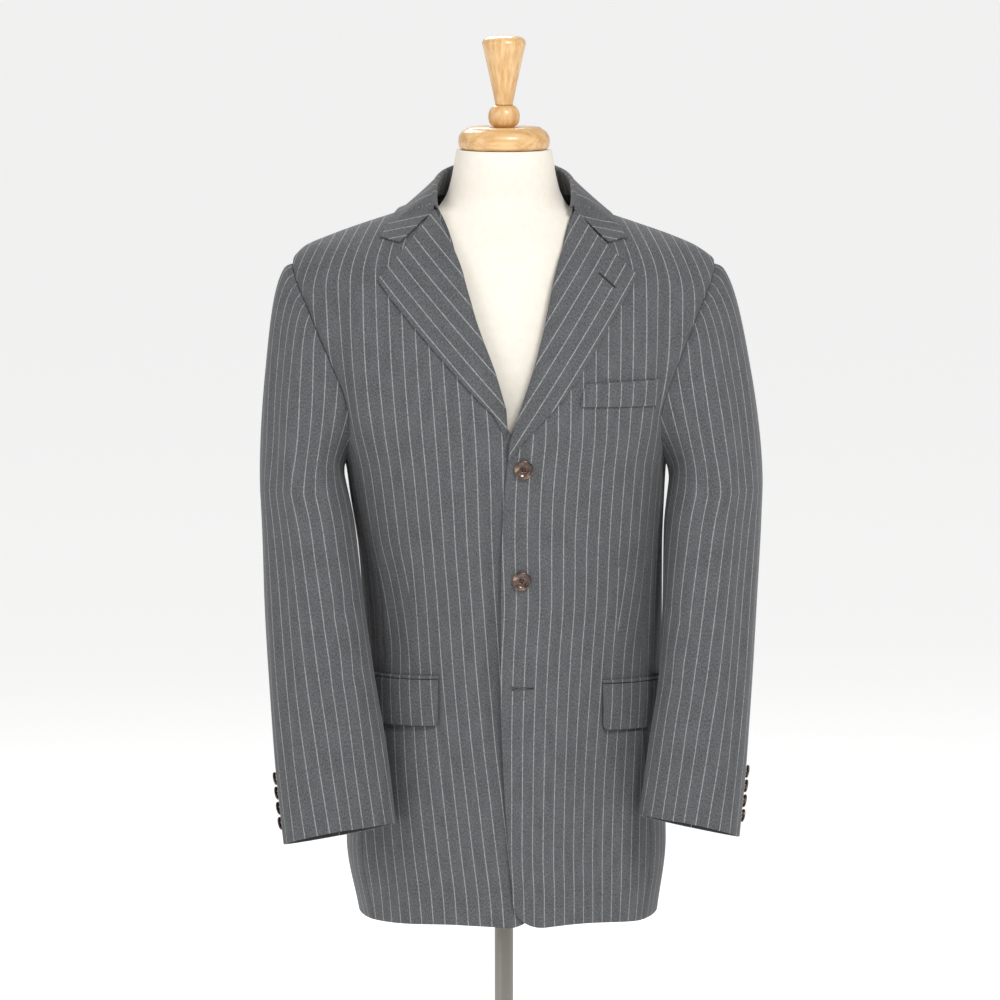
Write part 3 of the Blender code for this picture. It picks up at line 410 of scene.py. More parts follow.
# %% The side seams and the front edge
SideSeams = namedtuple("SideSeams", "height front back")
SIDE_SEAMS = (
    SideSeams(0.728, 0.082, 0.074),
    SideSeams(1.060, 0.076, 0.062),
    SideSeams(1.244, 0.069, 0.074),
    SideSeams(1.266, 0.068, 0.077),
)
FrontEdge = namedtuple("FrontEdge", "height x")
FRONT_EDGE = (
    FrontEdge(0.728, 0.0090),
    FrontEdge(0.784, 0.0063),
    FrontEdge(0.871, 0.0010),
    FrontEdge(0.978, -0.0032),
    FrontEdge(1.085, -0.0032),
    FrontEdge(1.170, -0.0011),
    FrontEdge(1.239, 0.0050),
    FrontEdge(1.2525, 0.0092),
)
CLOTH = 0.0020
SEAM = 0.0003
REST = 0.0004
HEM_HEIGHT = 0.728
HEM_LIFT = 0.007
CORNER_RADIUS = 0.036
OVERLAP_WIDTH = 0.036
OVERLAP_SLANTS_FROM = 1.205
OVERLAP_SINK = 0.0036
BUTTON_SINK = 0.0072
LOOSE_BUTTON_HEIGHT = 0.9896


def overlap_sink(x, z):
    """How far the under front lies below the surface, towards the centre."""
    at_button = 1 - smoothstep(0.040, 0.120, abs(z - LOOSE_BUTTON_HEIGHT))
    depth = mix(OVERLAP_SINK, BUTTON_SINK, at_button)
    return depth * smoothstep(-0.045, -0.004, x)


def corner_rise(x, edge_x, side):
    """How far the rounded front corner lifts the hem near the front edge."""
    inside = (x - edge_x) * side
    if inside >= CORNER_RADIUS:
        return 0.0
    reach = CORNER_RADIUS - max(inside, 0.0)
    return CORNER_RADIUS - math.sqrt(CORNER_RADIUS ** 2 - reach ** 2)


print("front edge at the hem", FRONT_EDGE[0].x)

# %% [markdown]
# Lapels are the tops of the fronts, pressed back along the roll line. The tables give the roll
# line and the outer edge, from the break point, above the top button, up to the neck.

# %% The lapels' lines
LapelRow = namedtuple("LapelRow", "roll_x roll_z edge_x edge_z")
RIGHT_LAPEL = (
    LapelRow(-0.0010, 1.2860, -0.0110, 1.2810),
    LapelRow(-0.0075, 1.3070, -0.0265, 1.2960),
    LapelRow(-0.0148, 1.3287, -0.0467, 1.3178),
    LapelRow(-0.0306, 1.3698, -0.0775, 1.3518),
    LapelRow(-0.0412, 1.4043, -0.1040, 1.3819),
    LapelRow(-0.0518, 1.4386, -0.1200, 1.4005),
    LapelRow(-0.0740, 1.4855, -0.1333, 1.4183),
)
LEFT_LAPEL = (
    LapelRow(0.0092, 1.2525, 0.0200, 1.2520),
    LapelRow(0.0190, 1.2810, 0.0420, 1.2752),
    LapelRow(0.0310, 1.3150, 0.0678, 1.3043),
    LapelRow(0.0420, 1.3530, 0.0920, 1.3400),
    LapelRow(0.0500, 1.3890, 0.1120, 1.3755),
    LapelRow(0.0590, 1.4310, 0.1270, 1.3985),
    LapelRow(0.0755, 1.4843, 0.1407, 1.4226),
)
ROLL_LIFT = 0.0065
BREAK_LIFT = 0.0050
NECK_LIFT = 0.0034
PANEL_UNDER_ROLL = 0.003


def lapel_table(side):
    return LEFT_LAPEL if side > 0 else RIGHT_LAPEL


@lru_cache(maxsize=20000)
def lapel_row(side, t):
    """Row of a lapel at a fraction of the way from the break point to the neck."""
    table = lapel_table(side)
    place = min(t * (len(table) - 1), len(table) - 1.000001)
    i = int(place)
    f = place - i
    around = [table[min(max(i + k, 0), len(table) - 1)] for k in (-1, 0, 1, 2)]
    return LapelRow(*(through(*column, f) for column in zip(*around)))


def front_edge(side, z):
    """x of the front edge at a height: the over front's, or the hidden one of the under front."""
    if side > 0:
        return smooth_row(FRONT_EDGE, z).x
    turned_from = RIGHT_LAPEL[0]
    slant = smoothstep(OVERLAP_SLANTS_FROM, turned_from.roll_z, z)
    return mix(OVERLAP_WIDTH, turned_from.roll_x, slant)


print("lapel width at the notch", round(LEFT_LAPEL[-1].edge_x - LEFT_LAPEL[-1].roll_x, 3))

# %% [markdown]
# A worn coat is never perfectly smooth. Each crease here is a soft trough, or a ridge where its
# depth is positive, along a line from one point to another. Its width is how far it spreads and
# it fades at both ends. The lines follow the coat: drape beside the armholes, a pull at the top
# button, a hollow at the waist and slow waves in the skirt. The back has similar ones.

# %% Creases of the body
Crease = namedtuple("Crease", "x0 z0 x1 z1 width depth")
FRONT_CREASES = (
    Crease(0.1700, 1.425, 0.1660, 1.235, 0.0070, -0.0034),
    Crease(0.1530, 1.425, 0.1500, 1.250, 0.0100, 0.0022),
    Crease(-0.1830, 1.400, -0.1650, 1.225, 0.0110, -0.0042),
    Crease(-0.1600, 1.410, -0.1480, 1.240, 0.0120, 0.0022),
    Crease(-0.0300, 1.238, -0.0100, 1.170, 0.0055, -0.0024),
    Crease(-0.0110, 1.215, -0.0120, 0.900, 0.0065, -0.0030),
    Crease(-0.0280, 1.200, -0.0270, 0.960, 0.0080, 0.0016),
    Crease(0.0480, 1.205, 0.0900, 1.120, 0.0140, -0.0014),
    Crease(-0.0500, 1.190, -0.0950, 1.110, 0.0140, -0.0012),
    Crease(-0.1250, 1.130, -0.1150, 1.000, 0.0130, -0.0030),
    Crease(0.0900, 0.960, 0.1000, 0.730, 0.0220, -0.0024),
    Crease(0.0520, 0.960, 0.0540, 0.720, 0.0180, 0.0020),
    Crease(-0.0620, 0.980, -0.0520, 0.720, 0.0200, -0.0022),
    Crease(-0.1020, 0.930, -0.0950, 0.720, 0.0180, 0.0022),
    Crease(-0.1350, 0.940, -0.1320, 0.720, 0.0120, -0.0020),
    Crease(0.1350, 0.930, 0.1400, 0.720, 0.0120, 0.0018),
)
BACK_CREASES = (
    Crease(0.1650, 1.400, 0.1580, 1.230, 0.0120, -0.0040),
    Crease(0.1400, 1.410, 0.1360, 1.240, 0.0130, 0.0024),
    Crease(-0.1670, 1.405, -0.1600, 1.225, 0.0120, -0.0038),
    Crease(-0.1430, 1.400, -0.1380, 1.230, 0.0120, 0.0022),
    Crease(-0.0900, 1.165, 0.0600, 1.150, 0.0120, -0.0016),
    Crease(-0.0500, 1.105, 0.1050, 1.120, 0.0110, -0.0018),
    Crease(-0.1100, 1.060, 0.0200, 1.070, 0.0110, -0.0014),
    Crease(0.0650, 1.000, 0.0800, 0.720, 0.0220, -0.0026),
    Crease(-0.0700, 1.010, -0.0860, 0.720, 0.0220, -0.0024),
    Crease(0.0200, 0.960, 0.0160, 0.720, 0.0180, 0.0020),
    Crease(-0.0300, 0.950, -0.0300, 0.720, 0.0180, 0.0018),
    Crease(0.1250, 0.960, 0.1350, 0.720, 0.0160, 0.0022),
)


CREASE_RUNS_ON = 0.15
CREASE_FADES_BY = 0.25


def one_crease(crease, run, offset, runs_on, fades_by):
    """Height of a crease at an offset from its start; it fades at both ends of its run."""
    t = offset.dot(run) / run.length_squared
    if not -runs_on < t < 1 + runs_on:
        return 0.0
    aside = abs(offset.x * run.y - offset.y * run.x) / run.length
    fade = smoothstep(-runs_on, fades_by, t) * (1 - smoothstep(1 - fades_by, 1 + runs_on, t))
    return crease.depth * fade * math.exp(-(aside / crease.width) ** 2)


def crease_height(x, z, creases):
    """Sum of the creases at a point, in metres out of the cloth."""
    height = 0.0
    for c in creases:
        run, offset = Vector((c.x1 - c.x0, c.z1 - c.z0)), Vector((x - c.x0, z - c.z0))
        height += one_crease(c, run, offset, CREASE_RUNS_ON, CREASE_FADES_BY)
    return height


def wear(point):
    """Height of the body's creases at a point of it; they fade towards the side line."""
    creases = FRONT_CREASES if point.y < 0 else BACK_CREASES
    return crease_height(point.x, point.z, creases) * smoothstep(0.008, 0.050, abs(point.y))


print("creases", len(FRONT_CREASES) + len(BACK_CREASES))

# %% [markdown]
# A pinstripe is woven into the cloth, so it has to follow each piece as it was cut. Every piece
# gets its own UV map, called grain, in metres: U runs across the stripes and V along them. On
# the fronts the stripes lean to the centre on their way down, as the tables say: where one
# stripe lies at each height, and how far apart they look there.

# %% The grain of the fronts and the back
PITCH = 0.0136
StripeRow = namedtuple("StripeRow", "height x spacing")
RIGHT_STRIPES = (
    StripeRow(0.728, -0.0250, 0.0128),
    StripeRow(0.764, -0.0275, 0.0128),
    StripeRow(0.807, -0.0327, 0.0128),
    StripeRow(0.870, -0.0401, 0.0128),
    StripeRow(0.934, -0.0475, 0.0126),
    StripeRow(1.019, -0.0548, 0.0126),
    StripeRow(1.083, -0.0591, 0.0126),
    StripeRow(1.146, -0.0643, 0.0131),
    StripeRow(1.210, -0.0685, 0.0138),
    StripeRow(1.263, -0.0727, 0.0143),
    StripeRow(1.369, -0.0800, 0.0138),
    StripeRow(1.500, -0.0850, 0.0136),
)
LEFT_STRIPES = (
    StripeRow(0.728, 0.0641, 0.0109),
    StripeRow(0.764, 0.0641, 0.0110),
    StripeRow(0.807, 0.0631, 0.0112),
    StripeRow(0.870, 0.0641, 0.0114),
    StripeRow(0.934, 0.0663, 0.0119),
    StripeRow(1.019, 0.0705, 0.0124),
    StripeRow(1.083, 0.0747, 0.0127),
    StripeRow(1.146, 0.0757, 0.0132),
    StripeRow(1.210, 0.0789, 0.0135),
    StripeRow(1.263, 0.0831, 0.0134),
    StripeRow(1.369, 0.0840, 0.0134),
    StripeRow(1.500, 0.0850, 0.0134),
)
Dart = namedtuple("Dart", "x_top z_top x_low z_low intake")
RIGHT_DART = Dart(-0.1018, 1.1444, -0.0990, 0.9900, 0.0125)
LEFT_DART = Dart(0.1230, 1.1500, 0.1210, 0.9850, 0.0110)
SHOULDER_BEND = 0.024
SHOULDER_REACH = 0.055
GIRTH_STEPS = 60
SHOULDER_STARTS = 1.373
CHEST_FROM = 1.245
CHEST_TO = 1.370
SIDE_EASE = 1.03
SIDE_EASE_SHARE = 0.45
CHEST_EASE = 1.015


@lru_cache(maxsize=4000)
def girth_table(z, way, side):
    """Distance along the cloth from the centre line, at steps of the width."""
    section = smooth_row(BODY, z)
    depth = section.front if way < 0 else section.back
    wide = half_width(section, side)
    table = [0.0]
    last = (0.0, depth)
    for k in range(1, GIRTH_STEPS + 1):
        angle = math.pi / 2 * k / GIRTH_STEPS
        power = 2 / section.roundness
        here = (wide * math.sin(angle) ** power, depth * math.cos(angle) ** power)
        table.append(table[-1] + math.dist(last, here))
        last = here
    return wide, section.roundness, tuple(table)


def girth(x, z, way):
    """Distance along the cloth from the centre line to x, at a height below the shoulder."""
    level = round(min(z, SHOULDER_STARTS), 3)
    wide, roundness, table = girth_table(level, way, 1 if x >= 0 else -1)
    ratio = min(abs(x) / wide, 1.0)
    place = math.asin(ratio ** (roundness / 2)) / (math.pi / 2) * (len(table) - 1)
    i = min(int(place), len(table) - 2)
    beyond = max(abs(x) - wide, 0.0)
    return math.copysign(mix(table[i], table[i + 1], place - i) + beyond, x)


def front_width(x, z):
    """Distance across the front. The cloth is eased at the sides, and lies flat on the chest."""
    eased = mix(girth(x, z, -1), SIDE_EASE * x, SIDE_EASE_SHARE)
    return mix(eased, CHEST_EASE * x, smoothstep(CHEST_FROM, CHEST_TO, z))


def below_bend(x, z):
    """The x that a stripe comes from, before it bends near the shoulder seam."""
    near_top = max(SHOULDER_REACH - (top_height(round(x, 4)) - z), 0.0) / SHOULDER_REACH
    return x + math.copysign(SHOULDER_BEND * near_top ** 2, x) * smoothstep(0.05, 0.10, abs(x))


def front_grain(side, x, z, beyond_dart):
    """U and V of the front's cloth at a point of the body."""
    rows = LEFT_STRIPES if side > 0 else RIGHT_STRIPES
    row = smooth_row(rows, round(z, 4))
    u = (front_width(below_bend(x, z), z) - front_width(row.x, z)) * PITCH / row.spacing
    if beyond_dart:
        dart = LEFT_DART if side > 0 else RIGHT_DART
        taken = dart.intake * smoothstep(dart.z_top, dart.z_low + 0.03, z)
        taken *= smoothstep(0.955, 0.985, z)
        u += side * taken
    return u, z


def past_dart(side, x, z):
    """Whether a point lies on the arm's side of the dart."""
    dart = LEFT_DART if side > 0 else RIGHT_DART
    t = (z - dart.z_top) / (dart.z_low - dart.z_top)
    return abs(x) > abs(mix(dart.x_top, dart.x_low, t))


def back_grain(x, z):
    """U and V of the back, whose stripes start from the centre back seam."""
    return girth(below_bend(x, z), z, 1) + math.copysign(PITCH / 2, x), z


print("stripes", PITCH * 1000, "mm apart")

# %% [markdown]
# The cloth is a wool twill: fine slanting ribs spun from fibres of several greys, which give it
# a heathered look, with a pale stripe one or two threads wide. The real ribs are under a
# millimetre apart, too fine for the picture, so they are drawn a little coarser. Wool scatters
# light in its loose fibres, hence the high roughness and the touch of sheen.

# %% Wool twill
STRIPE_WIDTH = 0.00090
RIB = 0.0016
FIBRE_SCALE = (1 / 0.0014, 1 / 0.0022, 1.0)
PATCH_SCALE = (1 / 0.012, 1 / 0.030, 1.0)
BREAK_SCALE = (1 / 0.010, 1 / 0.0030, 1.0)


def wool(name, dark, light, stripe, stripes_shown):
    """Wool twill with a heathered ground and, if asked for, a pale pinstripe."""
    material, tree, shader = principled(name, {
        "Roughness": 0.88, "Specular IOR Level": 0.28, "Sheen Weight": 0.10,
        "Sheen Roughness": 0.5})
    grain = add(tree, "ShaderNodeUVMap", {"uv_map": "grain"}).outputs["UV"]
    fibres = drawn_noise(tree, grain, FIBRE_SCALE, Detail=2.0, Roughness=0.6)
    patches = drawn_noise(tree, grain, PATCH_SCALE, Detail=3.0, Roughness=0.5)
    share = add(tree, "ShaderNodeMapRange", None, {
        "Value": calculate(tree, "MULTIPLY_ADD", patches, 0.25, fibres),
        "From Min": 0.38, "From Max": 0.88})
    ground = add(tree, "ShaderNodeMix", {"data_type": "RGBA"}, {
        0: share.outputs["Result"], 6: linear(dark), 7: linear(light)})
    colour = ground.outputs[2]
    parts = add(tree, "ShaderNodeSeparateXYZ", None, {"Vector": grain})
    across, along = parts.outputs["X"], parts.outputs["Y"]
    if stripes_shown:
        turn = calculate(tree, "ADD", calculate(tree, "DIVIDE", across, PITCH), 0.5)
        centred = calculate(tree, "SUBTRACT", calculate(tree, "FLOORED_MODULO", turn, 1.0), 0.5)
        line = add(tree, "ShaderNodeMapRange", {"interpolation_type": "SMOOTHSTEP"}, {
            "Value": calculate(tree, "ABSOLUTE", centred),
            "From Min": STRIPE_WIDTH * 0.30 / PITCH, "From Max": STRIPE_WIDTH * 0.85 / PITCH,
            "To Min": 1.0, "To Max": 0.0})
        strength = add(tree, "ShaderNodeMapRange", None, {
            "Value": drawn_noise(tree, grain, BREAK_SCALE, Detail=2.0),
            "From Min": 0.30, "From Max": 0.62, "To Min": 0.28, "To Max": 0.72})
        amount = calculate(tree, "MULTIPLY", line.outputs["Result"], strength.outputs["Result"])
        striped = add(tree, "ShaderNodeMix", {"data_type": "RGBA"}, {
            0: amount, 6: colour, 7: linear(stripe)})
        colour = striped.outputs[2]
    tree.links.new(colour, shader.inputs["Base Color"])
    rib = calculate(tree, "MULTIPLY", calculate(tree, "ADD", across, along), 2 * math.pi / RIB)
    wave = calculate(tree, "SINE", rib)
    bump = add(tree, "ShaderNodeBump", None, {
        "Height": calculate(tree, "MULTIPLY_ADD", wave, 0.35, fibres),
        "Strength": 0.35, "Distance": 0.0004})
    tree.links.new(bump.outputs["Normal"], shader.inputs["Normal"])
    return material


striped_wool = wool("wool_twill_pinstripe", "3A3B3D", "6A6B6E", "ACADAC", True)
plain_wool = wool("wool_twill_inner_side", "3A3B3E", "55565A", "B4B5B5", False)
print("cloth", striped_wool.name)

# %% [markdown]
# One helper makes every piece of cloth. It starts from a flat grid, as a cutter starts from flat
# cloth, and moves each corner of the grid to its place on the coat. The grid's own corners give
# the grain before they move. A Solidify modifier adds the wall inwards, and a small bevel rounds
# the cut edges, because folded wool has no sharp edge.

# %% A piece of cloth
ROUND_EDGE = 0.0006
SHARP = math.radians(50)


def soften(piece, width, segments=2):
    """Round the sharp edges of a piece a little."""
    edge = piece.modifiers.new("soft_edge", "BEVEL")
    edge.width = width
    edge.segments = segments
    edge.limit_method = "ANGLE"
    edge.angle_limit = SHARP


def dress(piece, node):
    """Put a finished piece in the place of its CAD node."""
    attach(piece, "root")
    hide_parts(node)
    print(node, len(piece.data.polygons), "faces")


def cloth_piece(name, grid, place, grain, outward, wall=CLOTH):
    """A wall of cloth: place and grain turn u and v, from 0 to 1, into a point and a UV."""
    columns, rows = grid
    bm = bmesh.new()
    bmesh.ops.create_grid(bm, x_segments=columns, y_segments=rows, size=0.5)
    layer = bm.loops.layers.uv.new("grain")
    for face in bm.faces:
        middle = face.calc_center_median()
        for loop in face.loops:
            corner = loop.vert.co
            loop[layer].uv = grain(corner.x + 0.5, corner.y + 0.5, middle.x + 0.5, middle.y + 0.5)
    for vert in bm.verts:
        vert.co = place(vert.co.x + 0.5, vert.co.y + 0.5)
    bm.faces.ensure_lookup_table()
    bm.normal_update()
    middle = bm.faces[len(bm.faces) // 2 + columns // 2]
    if middle.normal.dot(outward(middle.calc_center_median())) < 0:
        bmesh.ops.reverse_faces(bm, faces=bm.faces[:])
    mesh = bpy.data.meshes.new(name)
    bm.to_mesh(mesh)
    bm.free()
    mesh.shade_smooth()
    mesh.materials.append(striped_wool)
    mesh.materials.append(plain_wool)
    piece = in_scene(name, mesh)
    solid = piece.modifiers.new("wall", "SOLIDIFY")
    solid.thickness = wall
    solid.offset = -1
    solid.material_offset = 1
    solid.material_offset_rim = 0
    soften(piece, min(ROUND_EDGE, wall * 0.3))
    return piece

# %% [markdown]
# The fronts are cut from the hem up to the shoulder. Below the armhole a row runs from the front
# edge to the side seam. Above it, a row runs from the roll line to the armhole. The lower front
# corner is rounded. The wearer's right front lies under the other one, so it is set a little
# deeper near the centre, and deeper still at the third button, which is left undone. The over
# front's edge, with its facing inside, stands off a little and shades the one below.

# %% The fronts
FRONT_GRID = (54, 132)
FRONT_JUNCTION = 0.66
WOOL_FOLD = 0.0008
ARMHOLE_FOLD = 0.0014
EDGE_STAND = 0.0018
TURN_AWAY = 1.15


def spread(u, crowding=1.0):
    """Share of the way across the body; columns crowd where it turns away to the side."""
    return math.sin(TURN_AWAY * u ** crowding) / math.sin(TURN_AWAY)


@lru_cache(maxsize=40000)
def front_place(side, u, v):
    """x and z of the front's cloth, and its point on the armhole where it ends there."""
    junction = ARMHOLE[FRONT_SEAM_MEETS].height
    if v <= FRONT_JUNCTION:
        t = v / FRONT_JUNCTION
        z = mix(HEM_HEIGHT, junction, t)
        seam_y = -smooth_row(SIDE_SEAMS, z).front - SEAM / 2
        inner_z = mix(HEM_HEIGHT, lapel_table(side)[0].roll_z, t)
        inner_x = front_edge(side, inner_z)
        outer = body_by_depth(side, seam_y, z)
        upper, low = 0.0, max(1 - 4 * t, 0.0)
    else:
        t = (v - FRONT_JUNCTION) / (1 - FRONT_JUNCTION)
        row = lapel_row(side, t)
        inner_x = row.roll_x + side * PANEL_UNDER_ROLL * smoothstep(0.0, 0.2, t)
        inner_z = mix(row.roll_z, NECKLINE_HEIGHT, t ** 6)
        outer = armhole_at(side, FRONT_SEAM_MEETS * (1 - t))
        upper, low = t, 0.0
    if u >= 1 - NEARLY:
        return outer.x, outer.z, outer
    w = spread(u, 1.45)
    x = mix(inner_x, outer.x, w)
    z = mix(inner_z, outer.z, w)
    if u > NEARLY:
        chord = mix(NECKLINE_HEIGHT, SHOULDER_HEIGHT, w)
        z += (top_height(round(x, 5)) - chord) * upper ** 2
    z += low * (corner_rise(x, inner_x, side) + HEM_LIFT * math.sin(math.pi * w))
    return x, min(z, top_height(round(x, 5))), None


def front_point(side, u, v):
    x, z, on_armhole = front_place(side, u, v)
    base = on_armhole.copy() if on_armhole else body_by_width(x, z, -1)
    base.y -= SEAM / 2 * smoothstep(0.99, 1.0, v)
    normal = body_normal(base)
    lift = wear(base)
    if side < 0:
        lift -= overlap_sink(x, z)
    else:
        below_break = smoothstep(0.0, 0.08, v) * (1 - smoothstep(0.50, 0.62, v))
        lift += EDGE_STAND * (1 - smoothstep(0.0, 0.11, u)) * below_break
    lift -= WOOL_FOLD * smoothstep(0.985, 1.0, u)
    lift -= ARMHOLE_FOLD * smoothstep(0.965, 1.0, u) * smoothstep(0.67, 0.72, v)
    return base + normal * lift


def front_uv(side, u, v, face_u, face_v):
    x, z, _ = front_place(side, u, v)
    face_x, face_z, _ = front_place(side, round(face_u, 6), round(face_v, 6))
    return front_grain(side, x, z, past_dart(side, face_x, face_z))


for side, word in SIDES:
    piece = cloth_piece(
        f"front_{word}_cloth", FRONT_GRID,
        lambda u, v: front_point(side, u, v),
        lambda u, v, fu, fv: front_uv(side, u, v, fu, fv),
        body_normal)
    dress(piece, f"front_{word}")

# %% [markdown]
# The two backs meet in a seam down the middle. The photograph does not show them, so they are
# cut in the usual plain way, with the same kind of soft creases as the fronts.

# %% The backs
BACK_GRID = (40, 120)
BACK_JUNCTION = 0.68


@lru_cache(maxsize=40000)
def back_place(side, u, v):
    """x and z of the back's cloth, and its point on the armhole where it ends there."""
    junction = ARMHOLE[BACK_SEAM_MEETS].height
    if v <= BACK_JUNCTION:
        z = mix(HEM_HEIGHT, junction, v / BACK_JUNCTION)
        outer = body_by_depth(side, smooth_row(SIDE_SEAMS, z).back + SEAM / 2, z)
        inner_z, upper = z, 0.0
    else:
        upper = (v - BACK_JUNCTION) / (1 - BACK_JUNCTION)
        inner_z = mix(junction, NECKLINE_HEIGHT, upper)
        outer = armhole_at(side, ROUND - BACK_SEAM_MEETS * (1 - upper))
    if u >= 1 - NEARLY:
        return outer.x, outer.z, outer
    w = spread(u)
    x = mix(side * SEAM / 2, outer.x, w)
    z = mix(inner_z, outer.z, w)
    if u > NEARLY:
        chord = mix(NECKLINE_HEIGHT, SHOULDER_HEIGHT, w)
        z += (top_height(round(x, 5)) - chord) * upper ** 2
    return x, min(z, top_height(round(x, 5))), None


def back_point(side, u, v):
    x, z, on_armhole = back_place(side, u, v)
    base = on_armhole.copy() if on_armhole else body_by_width(x, z, 1)
    base.y += SEAM / 2 * smoothstep(0.99, 1.0, v)
    dip = WOOL_FOLD * (smoothstep(0.985, 1.0, u) + 1 - smoothstep(0.0, 0.02, u))
    dip += ARMHOLE_FOLD * smoothstep(0.955, 1.0, u) * smoothstep(0.69, 0.74, v)
    return base + body_normal(base) * (wear(base) - dip)


def back_uv(side, u, v):
    x, z, _ = back_place(side, u, v)
    return back_grain(x, z)


for side, word in SIDES:
    piece = cloth_piece(
        f"back_{word}_cloth", BACK_GRID,
        lambda u, v: back_point(side, u, v),
        lambda u, v, fu, fv: back_uv(side, u, v),
        body_normal)
    dress(piece, f"back_{word}")

# %% [markdown]
# A narrow panel lies under each arm. Its stripes run straight up from the hem. In front it meets
# the front and behind it the back, and its top follows the lowest part of the armhole.

# %% The side panels under the arms
SIDE_GRID = (30, 100)
SIDE_FROM = FRONT_SEAM_MEETS
SIDE_TO = ROUND - BACK_SEAM_MEETS
SIDE_HALF_WIDTH = 0.080
SIDE_TOP = 1.22


def side_point(side, u, v):
    above = armhole_at(side, mix(SIDE_FROM, SIDE_TO, u))
    z = mix(HEM_HEIGHT, above.z, v)
    seams = smooth_row(SIDE_SEAMS, z)
    y = mix(mix(-seams.front, seams.back, u), above.y, smoothstep(0.35, 1.0, v))
    if u < NEARLY:
        y = -seams.front + SEAM / 2
    if u > 1 - NEARLY:
        y = seams.back - SEAM / 2
    base = body_by_depth(side, y, z)
    dip = WOOL_FOLD * (smoothstep(0.96, 1.0, u) + 1 - smoothstep(0.0, 0.04, u))
    return base + body_normal(base) * (wear(base) - dip)


for side, word in SIDES:
    piece = cloth_piece(
        f"side_{word}_cloth", SIDE_GRID,
        lambda u, v: side_point(side, u, v),
        lambda u, v, fu, fv: (mix(-SIDE_HALF_WIDTH, SIDE_HALF_WIDTH, u),
                              mix(HEM_HEIGHT, SIDE_TOP, v)),
        body_normal)
    dress(piece, f"side_{word}")

# %% [markdown]
# A sleeve is a tube that starts at the armhole, swings out over the shoulder and hangs with a
# slight bend at the elbow. The table gives its sections. Two seams on the inner side divide it
# into a wide upper and a narrow under sleeve.

# %% The sleeves' shape
ArmSection = namedtuple("ArmSection", "depth_below outer inner centre_y half_depth turn")
RIGHT_SLEEVE = (
    ArmSection(-1.190, 0.2635, 0.1700, -0.018, 0.077, 12),
    ArmSection(-1.140, 0.2605, 0.1590, -0.036, 0.074, 16),
    ArmSection(-1.071, 0.2575, 0.1510, -0.058, 0.069, 20),
    ArmSection(-0.989, 0.2510, 0.1390, -0.092, 0.061, 22),
    ArmSection(-0.914, 0.2435, 0.1260, -0.126, 0.052, 24),
    ArmSection(-0.836, 0.2330, 0.1160, -0.160, 0.042, 25),
)
LEFT_SLEEVE = (
    ArmSection(-1.190, 0.2790, 0.1765, -0.018, 0.078, 12),
    ArmSection(-1.140, 0.2765, 0.1710, -0.034, 0.075, 16),
    ArmSection(-1.071, 0.2720, 0.1700, -0.052, 0.070, 18),
    ArmSection(-0.989, 0.2660, 0.1660, -0.080, 0.062, 20),
    ArmSection(-0.914, 0.2590, 0.1550, -0.110, 0.053, 22),
    ArmSection(-0.841, 0.2500, 0.1450, -0.141, 0.043, 24),
)
CAP_ROLL = 0.075
CAP_TUCK = 0.0024
CAP_SHARE = 0.28
CUFF_FALL_OUTSIDE = 0.0090
CUFF_FALL_IN_FRONT = 0.0060
CUFF_SQUARENESS = 2.35
UNDER_FROM = 9
UNDER_TO = 17
OUT_OF_HOLE = {side: Vector((side * 0.965, 0.0, -0.26)) for side in (-1, 1)}
ARMHOLE_MIDDLE = {
    side: sum((armhole_at(side, i) for i in range(ROUND)), Vector()) / ROUND for side in (-1, 1)}


def arm_centre(side, t):
    table = LEFT_SLEEVE if side > 0 else RIGHT_SLEEVE
    within = min(max(t, 0.0), 1.0)
    row = smooth_row(table, mix(table[0].depth_below, table[-1].depth_below, within))
    return Vector((side * (row.outer + row.inner) / 2, row.centre_y, -row.depth_below)), row


@lru_cache(maxsize=4000)
def arm_frame(side, t):
    """Centre, outward and forward direction, and half sizes of a sleeve at a fraction t."""
    centre, row = arm_centre(side, t)
    along = (arm_centre(side, t + 0.04)[0] - arm_centre(side, t - 0.04)[0]).normalized()
    turn = math.radians(row.turn)
    outward = Vector((side * math.cos(turn), -math.sin(turn), 0.0))
    outward = (outward - along * outward.dot(along)).normalized()
    forward = along.cross(outward) * side
    half_x = (row.outer - row.inner) / 2
    across = math.sqrt(half_x ** 2 - (row.half_depth * math.sin(turn)) ** 2) / math.cos(turn)
    return centre, outward, forward, across, row.half_depth


def arm_point(side, place, t):
    """Point of the arm's part of a sleeve; towards the cuff its front half grows squarer."""
    centre, outward, forward, across, depth = arm_frame(side, round(t, 6))
    angle = 2 * math.pi * place / ROUND
    c, s = math.cos(angle), math.sin(angle)
    fall = (CUFF_FALL_OUTSIDE * c + CUFF_FALL_IN_FRONT * s) * smoothstep(0.60, 1.0, t)
    if s > 0:
        power = 2 / mix(2.0, CUFF_SQUARENESS, smoothstep(0.0, 1.0, t))
        c, s = math.copysign(abs(c) ** power, c), s ** power
    return centre + outward * across * c + forward * depth * s - Vector((0.0, 0.0, fall))


@lru_cache(maxsize=80000)
def sleeve_surface(side, place, v):
    """Point of the smooth sleeve; place runs round it as on the armhole, v down to the cuff."""
    if v > CAP_SHARE:
        return arm_point(side, place, (v - CAP_SHARE) / (1 - CAP_SHARE))
    seam = armhole_at(side, place)
    normal = body_normal(seam)
    inward = ARMHOLE_MIDDLE[side] - seam
    inward = (inward - normal * inward.dot(normal)).normalized()
    start = seam + inward * SEAM * 1.6 + normal * (wear(seam) - CAP_TUCK)
    first, below = arm_point(side, place, 0.0), arm_point(side, place, 0.02)
    top = (1 + math.cos(2 * math.pi * place / ROUND)) / 2
    leave = OUT_OF_HOLE[side] * mix(0.010, CAP_ROLL, top)
    arrive = (below - first).normalized() * (first - start).length * 0.9
    return hermite(start, leave, first, arrive, v / CAP_SHARE)


